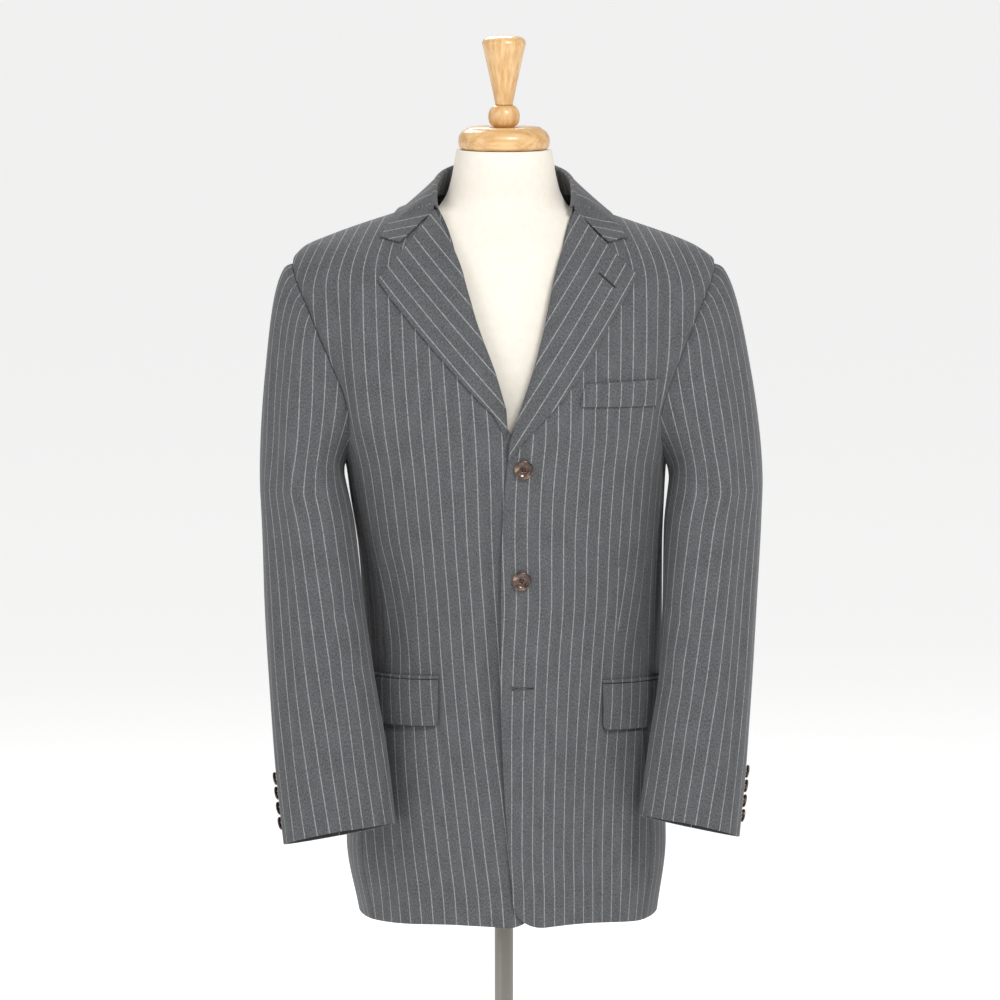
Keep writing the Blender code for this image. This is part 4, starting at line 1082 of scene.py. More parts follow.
print("cuff of the right sleeve", tuple(round(c, 3) for c in arm_centre(-1, 1.0)[0]))

# %% [markdown]
# The sleeves' creases are listed like the body's, but by place round the tube and by height.
# Place 0 is the outer line, 6 the front, 12 the inner line next to the body and 18 the back.
# Cloth bunches in front of the elbow and runs down in long soft folds, and the head of the
# sleeve stands up in a small roll beside the seam.

# %% The sleeves' creases
SleeveCrease = namedtuple("SleeveCrease", "place0 z0 place1 z1 width depth")
RIGHT_SLEEVE_CREASES = (
    SleeveCrease(2.4, 1.385, 2.2, 1.200, 0.013, -0.0030),
    SleeveCrease(4.4, 1.330, 3.6, 1.150, 0.012, 0.0022),
    SleeveCrease(5.6, 1.290, 4.6, 1.120, 0.012, -0.0032),
    SleeveCrease(7.8, 1.080, 4.4, 1.045, 0.010, -0.0020),
    SleeveCrease(8.0, 1.045, 4.6, 1.010, 0.010, 0.0012),
    SleeveCrease(7.8, 1.010, 5.0, 0.985, 0.010, -0.0014),
    SleeveCrease(2.0, 1.140, 1.6, 0.900, 0.014, -0.0026),
    SleeveCrease(0.4, 1.180, 0.6, 0.950, 0.014, 0.0020),
    SleeveCrease(21.5, 1.330, 21.0, 1.100, 0.014, -0.0030),
    SleeveCrease(18.0, 1.120, 20.5, 1.020, 0.011, -0.0024),
    SleeveCrease(14.0, 1.100, 16.0, 1.000, 0.011, -0.0022),
)
LEFT_SLEEVE_CREASES = (
    SleeveCrease(2.8, 1.385, 2.4, 1.180, 0.013, -0.0030),
    SleeveCrease(4.6, 1.330, 4.2, 1.130, 0.012, 0.0020),
    SleeveCrease(6.0, 1.270, 5.4, 1.090, 0.012, -0.0032),
    SleeveCrease(7.8, 1.065, 4.2, 1.030, 0.010, -0.0020),
    SleeveCrease(8.0, 1.030, 4.4, 0.995, 0.010, 0.0012),
    SleeveCrease(7.8, 0.990, 5.0, 0.965, 0.010, -0.0014),
    SleeveCrease(1.6, 1.150, 1.8, 0.900, 0.014, -0.0026),
    SleeveCrease(0.2, 1.170, 0.4, 0.960, 0.014, 0.0018),
    SleeveCrease(21.3, 1.340, 21.2, 1.100, 0.014, -0.0030),
    SleeveCrease(18.4, 1.110, 20.4, 1.010, 0.011, -0.0024),
    SleeveCrease(14.2, 1.090, 16.0, 1.000, 0.011, -0.0022),
)
PLACE_STEP = 0.017
SLEEVE_CREASE_RUNS_ON = 0.3
SLEEVE_CREASE_FADES_BY = 0.3
HEAD_ROLL = 0.0030


def sleeve_wear(side, place, v, point):
    """Height of the sleeve's creases at a point of it."""
    height = 0.0
    creases = LEFT_SLEEVE_CREASES if side > 0 else RIGHT_SLEEVE_CREASES
    for c in creases:
        run = Vector(((c.place1 - c.place0) * PLACE_STEP, c.z1 - c.z0))
        around = (place - c.place0 + ROUND / 2) % ROUND - ROUND / 2
        offset = Vector((around * PLACE_STEP, point.z - c.z0))
        height += one_crease(c, run, offset, SLEEVE_CREASE_RUNS_ON, SLEEVE_CREASE_FADES_BY)
    height *= smoothstep(0.0, 0.06, v)
    top = max(math.cos(2 * math.pi * place / ROUND) + 0.25, 0.0) / 1.25
    head = smoothstep(0.0, 0.030, v) * (1 - smoothstep(0.05, 0.16, v))
    return height + top ** 0.5 * head * HEAD_ROLL


def sleeve_point(side, place, v, lift=0.0):
    """Point of the worn sleeve, moved out of it by lift."""
    point = sleeve_surface(side, place, v)
    step_v = 0.002 if v < 0.5 else -0.002
    around = sleeve_surface(side, place + 0.05, v) - sleeve_surface(side, place - 0.05, v)
    down = sleeve_surface(side, place, v + step_v) - point
    normal = around.cross(down).normalized() * math.copysign(1, step_v) * side
    return point + normal * (sleeve_wear(side, place, v, point) + lift)


def sleeve_direction(side, place, v):
    """Direction square to the sleeve, pointing out of it."""
    return (sleeve_point(side, place, v, 0.001) - sleeve_point(side, place, v)).normalized()


# %% [markdown]
# The stripes of a sleeve are spaced by the distance round it, counted from its outer line. At
# each height the sleeve is taken as an ellipse. Above the upper arm that ellipse grows towards
# the armhole, which keeps the stripes upright on the head of the sleeve.

# %% The grain of the sleeves
RING_STEPS = 48
RING_STEP = 360 / RING_STEPS


@lru_cache(maxsize=4)
def outer_line(side):
    """Heights and widths of a sleeve along its outer line above the upper arm, from below."""
    points = [sleeve_surface(side, 0.0, CAP_SHARE * k / 40) for k in range(40, -1, -1)]
    return [(p.z, abs(p.x)) for p in points]


def outermost(side, z):
    rows = outer_line(side)
    for (low, wide), (high, less_wide) in zip(rows, rows[1:]):
        if low <= z <= high:
            return mix(wide, less_wide, (z - low) / (high - low))
    return rows[0][1] if z < rows[0][0] else rows[-1][1]


@lru_cache(maxsize=4000)
def level_ellipse(side, z):
    """Centre, directions, half sizes and lengths round it of the sleeve at a height."""
    table = LEFT_SLEEVE if side > 0 else RIGHT_SLEEVE
    top, low = -table[0].depth_below, -table[-1].depth_below
    t = min(max((top - z) / (top - low), 0.0), 1.0)
    centre, outward, forward, across, depth = arm_frame(side, round(t, 4))
    if z > top:
        seam_x = body_by_depth(side, -0.070, min(z, 1.40)).x
        near = smoothstep(top, 1.330, z)
        centre = Vector((mix(centre.x, seam_x, near), mix(centre.y, 0.0, near), z))
        across = mix(across, outermost(side, z) - abs(seam_x), near)
    angles = [math.radians(RING_STEP * k) for k in range(RING_STEPS + 1)]
    ring = [(across * math.cos(angle), depth * math.sin(angle)) for angle in angles]
    lengths = [0.0]
    for a, b in zip(ring, ring[1:]):
        lengths.append(lengths[-1] + math.dist(a, b))
    return centre, outward, forward, across, depth, tuple(lengths)


def sleeve_uv(side, place, v, under):
    """U runs round the sleeve from its outer line and V up it."""
    point = sleeve_surface(side, place, v)
    centre, outward, forward, across, depth, lengths = level_ellipse(side, round(point.z, 3))
    offset = point - centre
    angle = math.degrees(math.atan2(offset.dot(forward) / depth, offset.dot(outward) / across))
    if under:
        angle %= 360
    place_in = min(abs(angle) / RING_STEP, RING_STEPS - 0.001)
    i = int(place_in)
    return math.copysign(mix(lengths[i], lengths[i + 1], place_in - i), angle), point.z


def seam_gap(u, place_from, place_to):
    """Place round the sleeve for u, with half a seam's gap at each end."""
    gap = SEAM / 2 / PLACE_STEP
    return mix(place_from + gap, place_to - gap, u)


UPPER_SLEEVE_GRID = (72, 112)
UNDER_SLEEVE_GRID = (36, 112)
for side, word in SIDES:
    for kind, low, high, grid in (("upper", UNDER_TO - ROUND, UNDER_FROM, UPPER_SLEEVE_GRID),
                                  ("under", UNDER_FROM, UNDER_TO, UNDER_SLEEVE_GRID)):
        piece = cloth_piece(
            f"{kind}_sleeve_{word}_cloth", grid,
            lambda u, v: sleeve_point(side, seam_gap(u, low, high), 1 - v),
            lambda u, v, fu, fv: sleeve_uv(side, seam_gap(u, low, high), 1 - v, kind == "under"),
            lambda p: p - Vector((side * 0.21, -0.06, p.z)))
        dress(piece, f"{kind}_sleeve_{word}")

# %% [markdown]
# A lapel is not ironed flat: it turns over in a soft roll. A row starts under the roll, goes
# round it and settles on the chest towards the outer edge. Below the break it runs out in a
# narrow tail: the over front's along the front edge, the other one's under the over front. The
# stripes of a lapel run parallel to its outer edge, which is cut along the thread.

# %% The lapels
LAPEL_GRID = (40, 72)
LAPEL_TURN = 0.18
LAPEL_TURNS_BY = math.radians(140)
LAPEL_LEVEL = 1.37
TAIL_SHARE = 0.10
TAIL_WALL = 0.3
TAIL = {-1: LapelRow(0.0045, 1.2650, 0.0010, 1.2560), 1: LapelRow(0.0042, 1.2330, 0.0052, 1.2310)}


def tailed_row(side, v):
    """Row of the lapel at v, with the tail in the lowest part, and how far down it is."""
    if v >= TAIL_SHARE:
        return lapel_row(side, (v - TAIL_SHARE) / (1 - TAIL_SHARE)), 0.0
    first, second = lapel_row(side, 0.0), lapel_row(side, 0.05)
    down = 1 - v / TAIL_SHARE
    values = []
    for end, start, above in zip(TAIL[side], first, second):
        values.append(hermite(start, (start - above) * 1.2, end, (end - start) * 0.9, down))
    return LapelRow(*values), down


def lapel_place(side, u, v):
    """x and z on the body under a point of the lapel, and how far round the roll it is."""
    row, down = tailed_row(side, v)
    w = max((u - LAPEL_TURN) / (1 - LAPEL_TURN), 0.0) ** 1.2
    turn = LAPEL_TURNS_BY * max(1 - u / LAPEL_TURN, 0.0) * mix(1.0, 0.15, down)
    return mix(row.roll_x, row.edge_x, w), mix(row.roll_z, row.edge_z, w), w, turn


def lapel_point(side, u, v):
    row, down = tailed_row(side, v)
    x, z, w, turn = lapel_place(side, u, v)
    lift = mix(BREAK_LIFT, ROLL_LIFT, smoothstep(0.10, 0.40, v))
    lift = mix(lift, NECK_LIFT, smoothstep(0.78, 1.0, v)) * (1 - smoothstep(0.0, 1.0, down))
    wall = CLOTH * mix(1.0, TAIL_WALL, smoothstep(0.0, 1.0, down))
    sink = overlap_sink(x, z) if side < 0 else 0.0
    on_body = body_by_width(x, z, -1)
    normal = body_normal(on_body)
    if turn <= 0:
        flat = wall + REST + lift * (1 - w) ** 3 - sink
        return on_body + normal * (flat + wear(on_body))
    edge = body_by_width(row.edge_x, row.edge_z, -1)
    inward = on_body - edge
    inward = (inward - normal * inward.dot(normal)).normalized()
    radius = (wall + REST + lift) / 2
    return (on_body + normal * (radius * (1 + math.cos(turn)) - sink + wear(on_body))
            + inward * radius * math.sin(turn))


def lapel_uv(side, u, v):
    """U is the distance from the lapel's straight outer edge."""
    x, z, _, turn = lapel_place(side, u, v)
    table = lapel_table(side)
    low = Vector((girth(table[2].edge_x, LAPEL_LEVEL, -1), table[2].edge_z))
    high = Vector((girth(table[-1].edge_x, LAPEL_LEVEL, -1), table[-1].edge_z))
    along = (high - low).normalized()
    offset = Vector((girth(x, LAPEL_LEVEL, -1), z)) - low
    from_edge = offset.x * along.y - offset.y * along.x
    return from_edge + side * (0.004 - turn * 0.0037), offset.dot(along)


for side, word in SIDES:
    piece = cloth_piece(
        f"lapel_{word}_cloth", LAPEL_GRID,
        lambda u, v: lapel_point(side, u, v),
        lambda u, v, fu, fv: lapel_uv(side, u, v),
        body_normal)
    wall_group = piece.vertex_groups.new(name="wall_share")
    for vert in piece.data.vertices:
        full = smoothstep(TAIL[side].edge_z, lapel_table(side)[0].edge_z, vert.co.z)
        wall_group.add([vert.index], mix(TAIL_WALL, 1.0, full), "REPLACE")
    piece.modifiers["wall"].vertex_group = wall_group.name
    dress(piece, f"lapel_{word}")

# %% [markdown]
# Stand and fall of the collar are one band, folded over along the top of the neck. Each end of
# the fall drops to its notch, the step between collar and lapel. The fall is kept a little clear
# of whatever lies under it.

# %% The collar
CollarRow = namedtuple("CollarRow", "way stand_x stand_z fold_x fold_y fold_z edge_x edge_z")
COLLAR = (
    CollarRow(-1, 0.0722, 1.4915, 0.0712, -0.0450, 1.4950, 0.1305, 1.4580),
    CollarRow(-1, 0.0745, 1.4985, 0.0712, -0.0240, 1.5115, 0.1215, 1.4710),
    CollarRow(-1, 0.0805, 1.4999, 0.0690, 0.0010, 1.5210, 0.1105, 1.4850),
    CollarRow(1, 0.0650, 1.4999, 0.0590, 0.0300, 1.5290, 0.0980, 1.4810),
    CollarRow(1, 0.0420, 1.4999, 0.0380, 0.0545, 1.5340, 0.0600, 1.4830),
    CollarRow(1, 0.0000, 1.4999, 0.0000, 0.0660, 1.5360, 0.0000, 1.4835),
)
COLLAR_GRID = (140, 44)
COLLAR_STEPS = 60
COLLAR_FOLD_RADIUS = 0.0032
COLLAR_CLEAR = 0.0030
NOTCH_FROM_FOLD = 0.62
NOTCH_DROP = -0.0170


def kept_clear(p, distance):
    """Move a point out of the coat until it is at least this far from the body."""
    for _ in range(6):
        gradient = level_gradient(p)
        lack = distance - body_level(*p) / gradient.length
        if lack <= 0:
            break
        p = p + gradient.normalized() * lack
    return p


def collar_nodes():
    """Stand seam, fold and edge of each row of the table, as points in space."""
    nodes = []
    for row in COLLAR:
        seam = body_by_width(row.stand_x, row.stand_z, row.way)
        upward = Vector((-seam.x, -seam.y, 0.03)).normalized()
        edge = body_by_width(row.edge_x, min(row.edge_z, top_height(row.edge_x)), row.way)
        nodes.append((seam + upward * SEAM * 2, Vector((row.fold_x, row.fold_y, row.fold_z)),
                      edge + body_normal(edge) * COLLAR_CLEAR))
    return nodes


COLLAR_NODES = collar_nodes()


def collar_lines(t):
    """Stand seam, fold and edge at t, which runs from -1 at one end to +1 at the other."""
    last = len(COLLAR_NODES) - 1
    place = min((1 - abs(t)) * last, last - 0.000001)
    i = int(place)
    points = []
    for column in range(3):
        start, end = COLLAR_NODES[i][column], COLLAR_NODES[i + 1][column]
        before = COLLAR_NODES[max(i - 1, 0)][column]
        if i < last - 1:
            after = COLLAR_NODES[i + 2][column]
        else:
            after = Vector((-start.x, start.y, start.z))
        point = through(before, start, end, after, place - i)
        points.append(Vector((math.copysign(1, t) * point.x, point.y, point.z)))
    return points


def collar_point(u, v):
    """u runs along the collar from end to end, v from the stand's seam over to the edge."""
    t = 2 * u - 1
    seam, fold, edge = collar_lines(t)
    outward = Vector((fold.x, fold.y, 0.0)).normalized()
    below = fold - Vector((0, 0, COLLAR_FOLD_RADIUS))
    if v < 0.2:
        return mix(seam - outward * CLOTH, below, v / 0.2)
    angle = math.pi * max(1 - (v - 0.2) / 0.2, 0.0)
    over = below + outward * COLLAR_FOLD_RADIUS * (1 + math.cos(angle))
    over += Vector((0, 0, COLLAR_FOLD_RADIUS * math.sin(angle)))
    if v <= 0.4:
        return over
    f = (v - 0.4) / 0.6
    at_notch = smoothstep(0.80, 1.0, abs(t))
    drop = min((f / NOTCH_FROM_FOLD) ** 0.5, (1 - f) / (1 - NOTCH_FROM_FOLD))
    p = mix(over, edge, f) + Vector((0, 0, NOTCH_DROP * drop * at_notch))
    if at_notch:
        p.y = min(p.y, mix(p.y, body_by_width(p.x, p.z, -1).y, at_notch))
    return kept_clear(p, COLLAR_CLEAR)


def collar_lengths():
    """Distance along the middle of the fall, in steps from the centre back to one end."""
    points = [mix(*collar_lines(k / COLLAR_STEPS)[1:], 0.5) for k in range(COLLAR_STEPS + 1)]
    lengths = [0.0]
    for a, b in zip(points, points[1:]):
        lengths.append(lengths[-1] + (b - a).length)
    return lengths


COLLAR_LENGTHS = collar_lengths()


def collar_uv(u, v):
    """U runs along the collar at the back; near its ends the stripes lie level, as it is bent."""
    t = 2 * u - 1
    place = min(abs(t) * COLLAR_STEPS, COLLAR_STEPS - 0.001)
    i = int(place)
    from_end = COLLAR_LENGTHS[-1] - mix(COLLAR_LENGTHS[i], COLLAR_LENGTHS[i + 1], place - i)
    p = collar_point(u, max(v, 0.4))
    level = p.y * 0.76 + p.z * 0.65 - 0.9376
    across = mix(from_end, level, smoothstep(0.35, 0.75, abs(t)))
    return math.copysign(0.3 * PITCH - across, t), mix(-0.04, 0.05, v)


collar = cloth_piece(
    "collar_cloth", COLLAR_GRID, collar_point, lambda u, v, fu, fv: collar_uv(u, v),
    lambda p: Vector((0, 0, 1)) if p.z > 1.53 else p - Vector((0, 0, p.z)))
dress(collar, "collar")

# %% [markdown]
# Each side pocket has a narrow jet above its mouth and a flap below it, with rounded corners.
# The flap of a good coat is cut so that its stripes carry on those of the front. The breast
# pocket has a welt instead, a slanting strip that is sewn down at both ends.

# %% Pockets
Mouth = namedtuple("Mouth", "start_x top")
MOUTH = {-1: Mouth(0.0693, 0.9970), 1: Mouth(0.1042, 0.9905)}
FLAP_GRID = (72, 16)
JET_GRID = (60, 4)
POCKET_DROP = 0.010
FLAP_LENGTH = 0.148
FLAP_HEIGHT = 0.0490
FLAP_CORNER = 0.0065
FLAP_REST = 0.0010
JET_HEIGHT = 0.0040
JET_THICKNESS = 0.0015
JET_REST = 0.0009
ANGLE_STEPS = 60


def section_point(side, section, angle):
    """Point of a level section; 90 degrees is the centre front, 0 the side."""
    power = 2 / section.roundness
    x = side * half_width(section, side) * max(math.cos(angle), 0.0) ** power
    depth = section.front if angle >= 0 else section.back
    y = -math.copysign(depth * abs(math.sin(angle)) ** power, angle)
    return Vector((x, y, section.height))


def girth_angles(side):
    """Angles round the body at the pocket's mouth, evenly spaced over the flap's length."""
    section = smooth_row(BODY, MOUTH[side].top)
    angle = math.acos((MOUTH[side].start_x / half_width(section, side)) ** (section.roundness / 2))
    step, walked = 0.001, 0.0
    p = section_point(side, section, angle)
    angles = [angle]
    while len(angles) <= ANGLE_STEPS:
        angle -= step
        q = section_point(side, section, angle)
        walked += (q - p).length
        p = q
        if walked >= FLAP_LENGTH * len(angles) / ANGLE_STEPS:
            angles.append(angle)
    return angles


POCKET_ANGLES = {side: girth_angles(side) for side in (-1, 1)}


def pocket_base(side, u, drop):
    """Point of the body at u along the pocket's mouth, and this far below it."""
    place = min(u * ANGLE_STEPS, ANGLE_STEPS - 0.000001)
    i = int(place)
    angle = mix(POCKET_ANGLES[side][i], POCKET_ANGLES[side][i + 1], place - i)
    z = MOUTH[side].top - POCKET_DROP * u - drop
    return section_point(side, smooth_row(BODY, round(z, 6)), angle)


def flap_base(side, u, drop):
    """Point of the body under the flap, whose inner end hangs straight down."""
    mouth = pocket_base(side, u, 0.0)
    hung = pocket_base(side, u, drop)
    upright = body_by_width(mouth.x, hung.z, -1)
    if abs(mouth.x) >= half_width(smooth_row(BODY, round(hung.z, 6)), side) * 0.995:
        return hung
    x = mix(upright.x, hung.x, smoothstep(0.2, 0.8, u))
    return body_by_width(x, hung.z, -1) if u < 0.8 else hung


def flap_point(side, u, v):
    """The flap bulges a little, and its lower edge stands off the coat."""
    from_end = min(u, 1 - u) * FLAP_LENGTH
    reach = max(FLAP_CORNER - from_end, 0.0)
    cut = FLAP_CORNER - math.sqrt(FLAP_CORNER ** 2 - reach ** 2)
    base = flap_base(side, u, (FLAP_HEIGHT - cut) * v)
    wave = 0.0008 * math.sin(7.0 * u + 1.0) * v
    out = FLAP_REST + CLOTH + 0.0006 * math.sin(math.pi * v) + wave + 0.0008 * v
    return base + body_normal(base) * (out + wear(base))


def to_the_ends(u):
    """Crowd the columns of a grid towards both of its ends, where the corners are rounded."""
    return u - 0.8 * math.sin(2 * math.pi * u) / (2 * math.pi)


def lying_uv(side, place):
    """Grain of a small piece whose stripes match those of the front under it."""
    return front_grain(side, place.x, place.z, False)


def flap_uv(side, u, v):
    return lying_uv(side, flap_base(side, u, FLAP_HEIGHT * v))


def jet_point(side, u, v):
    base = pocket_base(side, u, -2 * SEAM - JET_HEIGHT * v)
    swell = 0.0005 * math.sin(math.pi * v)
    return base + body_normal(base) * (JET_REST + JET_THICKNESS + swell + wear(base))


for side, word in SIDES:
    flap = cloth_piece(
        f"pocket_flap_{word}_cloth", FLAP_GRID,
        lambda u, v: flap_point(side, to_the_ends(u), 1 - v),
        lambda u, v, fu, fv: flap_uv(side, to_the_ends(u), 1 - v),
        body_normal)
    dress(flap, f"pocket_flap_{word}")
    jet = cloth_piece(
        f"pocket_jet_{word}_cloth", JET_GRID,
        lambda u, v: jet_point(side, u, v),
        lambda u, v, fu, fv: lying_uv(side, pocket_base(side, u, -JET_HEIGHT * v)),
        body_normal, JET_THICKNESS)
    dress(jet, f"pocket_jet_{word}")


WeltEdge = namedtuple("WeltEdge", "inner_x inner_z outer_x outer_z")
WELT_LOW = WeltEdge(0.0800, 1.2886, 0.1612, 1.2866)
WELT_HIGH = WeltEdge(0.0851, 1.3129, 0.1655, 1.3145)
WELT_GRID = (44, 12)


def welt_base(u, v):
    """Point of the body under the welt, at v between its lower and its upper edge."""
    row = WeltEdge(*(mix(low, high, v) for low, high in zip(WELT_LOW, WELT_HIGH)))
    return body_by_width(mix(row.inner_x, row.outer_x, u), mix(row.inner_z, row.outer_z, u), -1)


def welt_point(u, v):
    base = welt_base(u, v)
    ease = 0.0008 * math.sin(math.pi * u) * v
    return base + body_normal(base) * (REST + CLOTH + ease + wear(base))


welt = cloth_piece(
    "breast_welt_cloth", WELT_GRID, welt_point,
    lambda u, v, fu, fv: lying_uv(1, welt_base(u, v)), body_normal)
dress(welt, "breast_welt")

# %% [markdown]
# The buttons are turned from horn: dark brown, polished, with paler patches. A front button is
# 20 mm wide and a cuff button about 14 mm. Each has a raised rim round a sunk middle, with four
# holes and two bars of thread.

# %% Horn
def horn():
    """Dark brown horn with paler patches, polished."""
    material, tree, shader = principled("polished_horn", {
        "Roughness": 0.20, "Coat Weight": 0.35, "Coat Roughness": 0.08})
    disc = add(tree, "ShaderNodeUVMap", {"uv_map": "disc"}).outputs["UV"]
    patches = add(tree, "ShaderNodeTexNoise", None, {
        "Vector": disc, "Scale": 0.85, "Detail": 2.0, "Distortion": 1.2})
    ramp = add(tree, "ShaderNodeValToRGB", None, {"Fac": patches.outputs["Fac"]})
    stops = ramp.color_ramp.elements
    stops[0].position, stops[0].color = 0.40, linear("2C1911")
    stops[1].position, stops[1].color = 0.72, linear("BEA58C")
    stops.new(0.56).color = linear("5E4232")
    tree.links.new(ramp.outputs["Color"], shader.inputs["Base Color"])
    return material


horn_material = horn()
print(horn_material.name)

# %% [markdown]
# The section of a button is given once, for a radius of 1, from its middle underneath round the
# rim to its middle on top. It is spun, drilled, and copied at the size of each button.

# %% Buttons
FRONT_BUTTON_RADIUS = 0.0100
CUFF_BUTTON_RADIUS = 0.0072
HOLE_CIRCLE = 0.17
HOLE_RADIUS = 0.08
BAR_FROM_MIDDLE = 0.12
STRAND_RADIUS = 0.022
STRAND_LENGTH = 0.30
STRAND_HEIGHT = 0.222
STRAND_PITCH = 0.036
BUTTON_SECTION = (
    (0.0, 0.0), (0.74, 0.0), (0.86, 0.04), (0.96, 0.11), (1.0, 0.20), (0.985, 0.285),
    (0.94, 0.340), (0.87, 0.362), (0.79, 0.355), (0.71, 0.325), (0.62, 0.265), (0.53, 0.222),
    (0.42, 0.205), (0.0, 0.200),
)


def disc_uv(bm):
    """A UV map that looks straight down on a turned piece."""
    layer = bm.loops.layers.uv.new("disc")
    for face in bm.faces:
        for loop in face.loops:
            loop[layer].uv = loop.vert.co.xy


def turned(profile, segments):
    """A new mesh in the making, spun about Z from pairs of radius and height."""
    bm = bmesh.new()
    verts = [bm.verts.new((radius, 0.0, height)) for radius, height in profile]
    edges = [bm.edges.new(pair) for pair in zip(verts, verts[1:])]
    bmesh.ops.spin(bm, geom=verts + edges, cent=(0, 0, 0), axis=(0, 0, 1),
                   angle=2 * math.pi, steps=segments, use_merge=True)
    bmesh.ops.remove_doubles(bm, verts=bm.verts[:], dist=0.00001)
    bmesh.ops.recalc_face_normals(bm, faces=bm.faces[:])
    return bm


def new_piece(name, bm, material):
    """Turn a bmesh into a smooth-shaded object."""
    mesh = bpy.data.meshes.new(name)
    bm.to_mesh(mesh)
    bm.free()
    mesh.shade_smooth()
    mesh.materials.append(material)
    return in_scene(name, mesh)


def drilled_button():
    """A button of radius 1 with its four holes cut right through."""
    bm = turned(BUTTON_SECTION, 48)
    disc_uv(bm)
    blank = new_piece("button_blank", bm, horn_material)
    bm = bmesh.new()
    for k in range(4):
        angle = math.pi / 4 + k * math.pi / 2
        drill = bmesh.ops.create_cone(bm, cap_ends=True, segments=16, radius1=HOLE_RADIUS,
                                      radius2=HOLE_RADIUS, depth=2.0)
        bmesh.ops.translate(bm, verts=drill["verts"],
                            vec=Vector((math.cos(angle), math.sin(angle), 0)) * HOLE_CIRCLE)
    drills = new_piece("button_drills", bm, horn_material)
    cut = blank.modifiers.new("holes", "BOOLEAN")
    cut.operation = "DIFFERENCE"
    cut.solver = "EXACT"
    cut.object = drills
    graph = bpy.context.evaluated_depsgraph_get()
    mesh = bpy.data.meshes.new_from_object(blank.evaluated_get(graph))
    bpy.data.objects.remove(blank)
    bpy.data.objects.remove(drills)
    return mesh


BUTTON_MESH = drilled_button()
button_thread, _, _ = principled("grey_button_thread", {
    "Base Color": linear("3B302B"), "Roughness": 0.7})


def sewn_button(node, radius, seat, outward, rise, turn):
    """Put a button on the cloth, turned by some degrees, with the thread that holds it."""
    place = Matrix.Translation(seat + outward * rise) @ (
        outward.to_track_quat("Z", "Y").to_matrix().to_4x4()
        @ Matrix.Rotation(math.radians(turn), 4, "Z"))
    sized = place @ Matrix.Diagonal((radius, radius, radius, 1.0))
    mesh = BUTTON_MESH.copy()
    mesh.name = f"{node}_horn"
    mesh.transform(sized)
    dress(in_scene(mesh.name, mesh), node)
    bm = bmesh.new()
    for way in (-1, 1):
        for strand in (-1, 0, 1):
            made = bmesh.ops.create_cone(
                bm, cap_ends=True, segments=8, radius1=STRAND_RADIUS, radius2=STRAND_RADIUS,
                depth=STRAND_LENGTH)
            bmesh.ops.rotate(bm, verts=made["verts"], cent=(0, 0, 0),
                             matrix=Matrix.Rotation(math.pi / 2, 3, "Y"))
            across = way * BAR_FROM_MIDDLE + strand * STRAND_PITCH
            bmesh.ops.translate(bm, verts=made["verts"], vec=(0, across, STRAND_HEIGHT))
    bmesh.ops.transform(bm, verts=bm.verts[:], matrix=sized)
    thread = new_piece(f"{node}_thread", bm, button_thread)
    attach(thread, "root")


Fastening = namedtuple("Fastening", "node x height turn")
FASTENINGS = (
    Fastening("front_button_top", 0.0205, 1.2240, 8),
    Fastening("front_button_middle", 0.0184, 1.1050, -14),
    Fastening("front_button_bottom", 0.0185, 0.9896, 24),
)
for fastening in FASTENINGS:
    seat = body_by_width(fastening.x, fastening.height, -1)
    outward = body_normal(seat)
    loose = fastening.node.endswith("bottom")
    rise = wear(seat) + 2 * SEAM - (overlap_sink(seat.x, seat.z) if loose else 0.0)
    sewn_button(fastening.node, FRONT_BUTTON_RADIUS, seat, outward, rise, fastening.turn)

CUFF_PLACE = ROUND - 2
CUFF_BUTTON_FIRST = 0.024
CUFF_BUTTON_PITCH = 0.0165
CUFF_BUTTON_REST = 0.0010


def up_from_cuff(side, place, distance):
    """v on the sleeve at a distance above the cuff's edge."""
    v, walked = 1.0, 0.0
    here = sleeve_surface(side, place, v)
    while walked < distance:
        v -= 0.001
        there = sleeve_surface(side, place, v)
        walked += (there - here).length
        here = there
    return v


for side, word in SIDES:
    for k in range(4):
        v = up_from_cuff(side, CUFF_PLACE, CUFF_BUTTON_FIRST + k * CUFF_BUTTON_PITCH)
        seat = sleeve_point(side, CUFF_PLACE, v)
        sewn_button(f"cuff_button_{word}_{k + 1}", CUFF_BUTTON_RADIUS, seat,
                    sleeve_direction(side, CUFF_PLACE, v), CUFF_BUTTON_REST, 17 * k - 20)
print("front and cuff buttons sewn on")

# %% [markdown]
# The dress form has no arms, head or legs: a torso covered in cotton jersey, with a neck that
# ends in a turned wooden cap and finial. It stands on a steel pole with a heavy round base.
# Most of the torso is hidden by the coat. The table gives how far it lies inside the cloth.

# %% Jersey
jersey, tree, shader = principled("cotton_jersey", {"Roughness": 0.9, "Sheen Weight": 0.08})
knit_map = add(tree, "ShaderNodeUVMap", {"uv_map": "knit"}).outputs["UV"]
knit = add(tree, "ShaderNodeTexWave", {"bands_direction": "X"}, {
    "Vector": knit_map, "Scale": 200.0, "Distortion": 1.5, "Detail": 1.0})
slub = add(tree, "ShaderNodeTexNoise", None, {"Vector": knit_map, "Scale": 90.0, "Detail": 3.0})
tone = add(tree, "ShaderNodeMix", {"data_type": "RGBA"}, {
    0: slub.outputs["Fac"], 6: linear("E6DFD2"), 7: linear("F3EDE2")})
tree.links.new(tone.outputs[2], shader.inputs["Base Color"])
knit_bump = add(tree, "ShaderNodeBump", None, {
    "Height": knit.outputs["Fac"], "Strength": 0.25, "Distance": 0.0004})
tree.links.new(knit_bump.outputs["Normal"], shader.inputs["Normal"])
print(jersey.name)

# %% [markdown]
# The torso is built from level rings, closer together near the neck. Each point of a ring lies
# inside the coat's surface by the inset of its height.

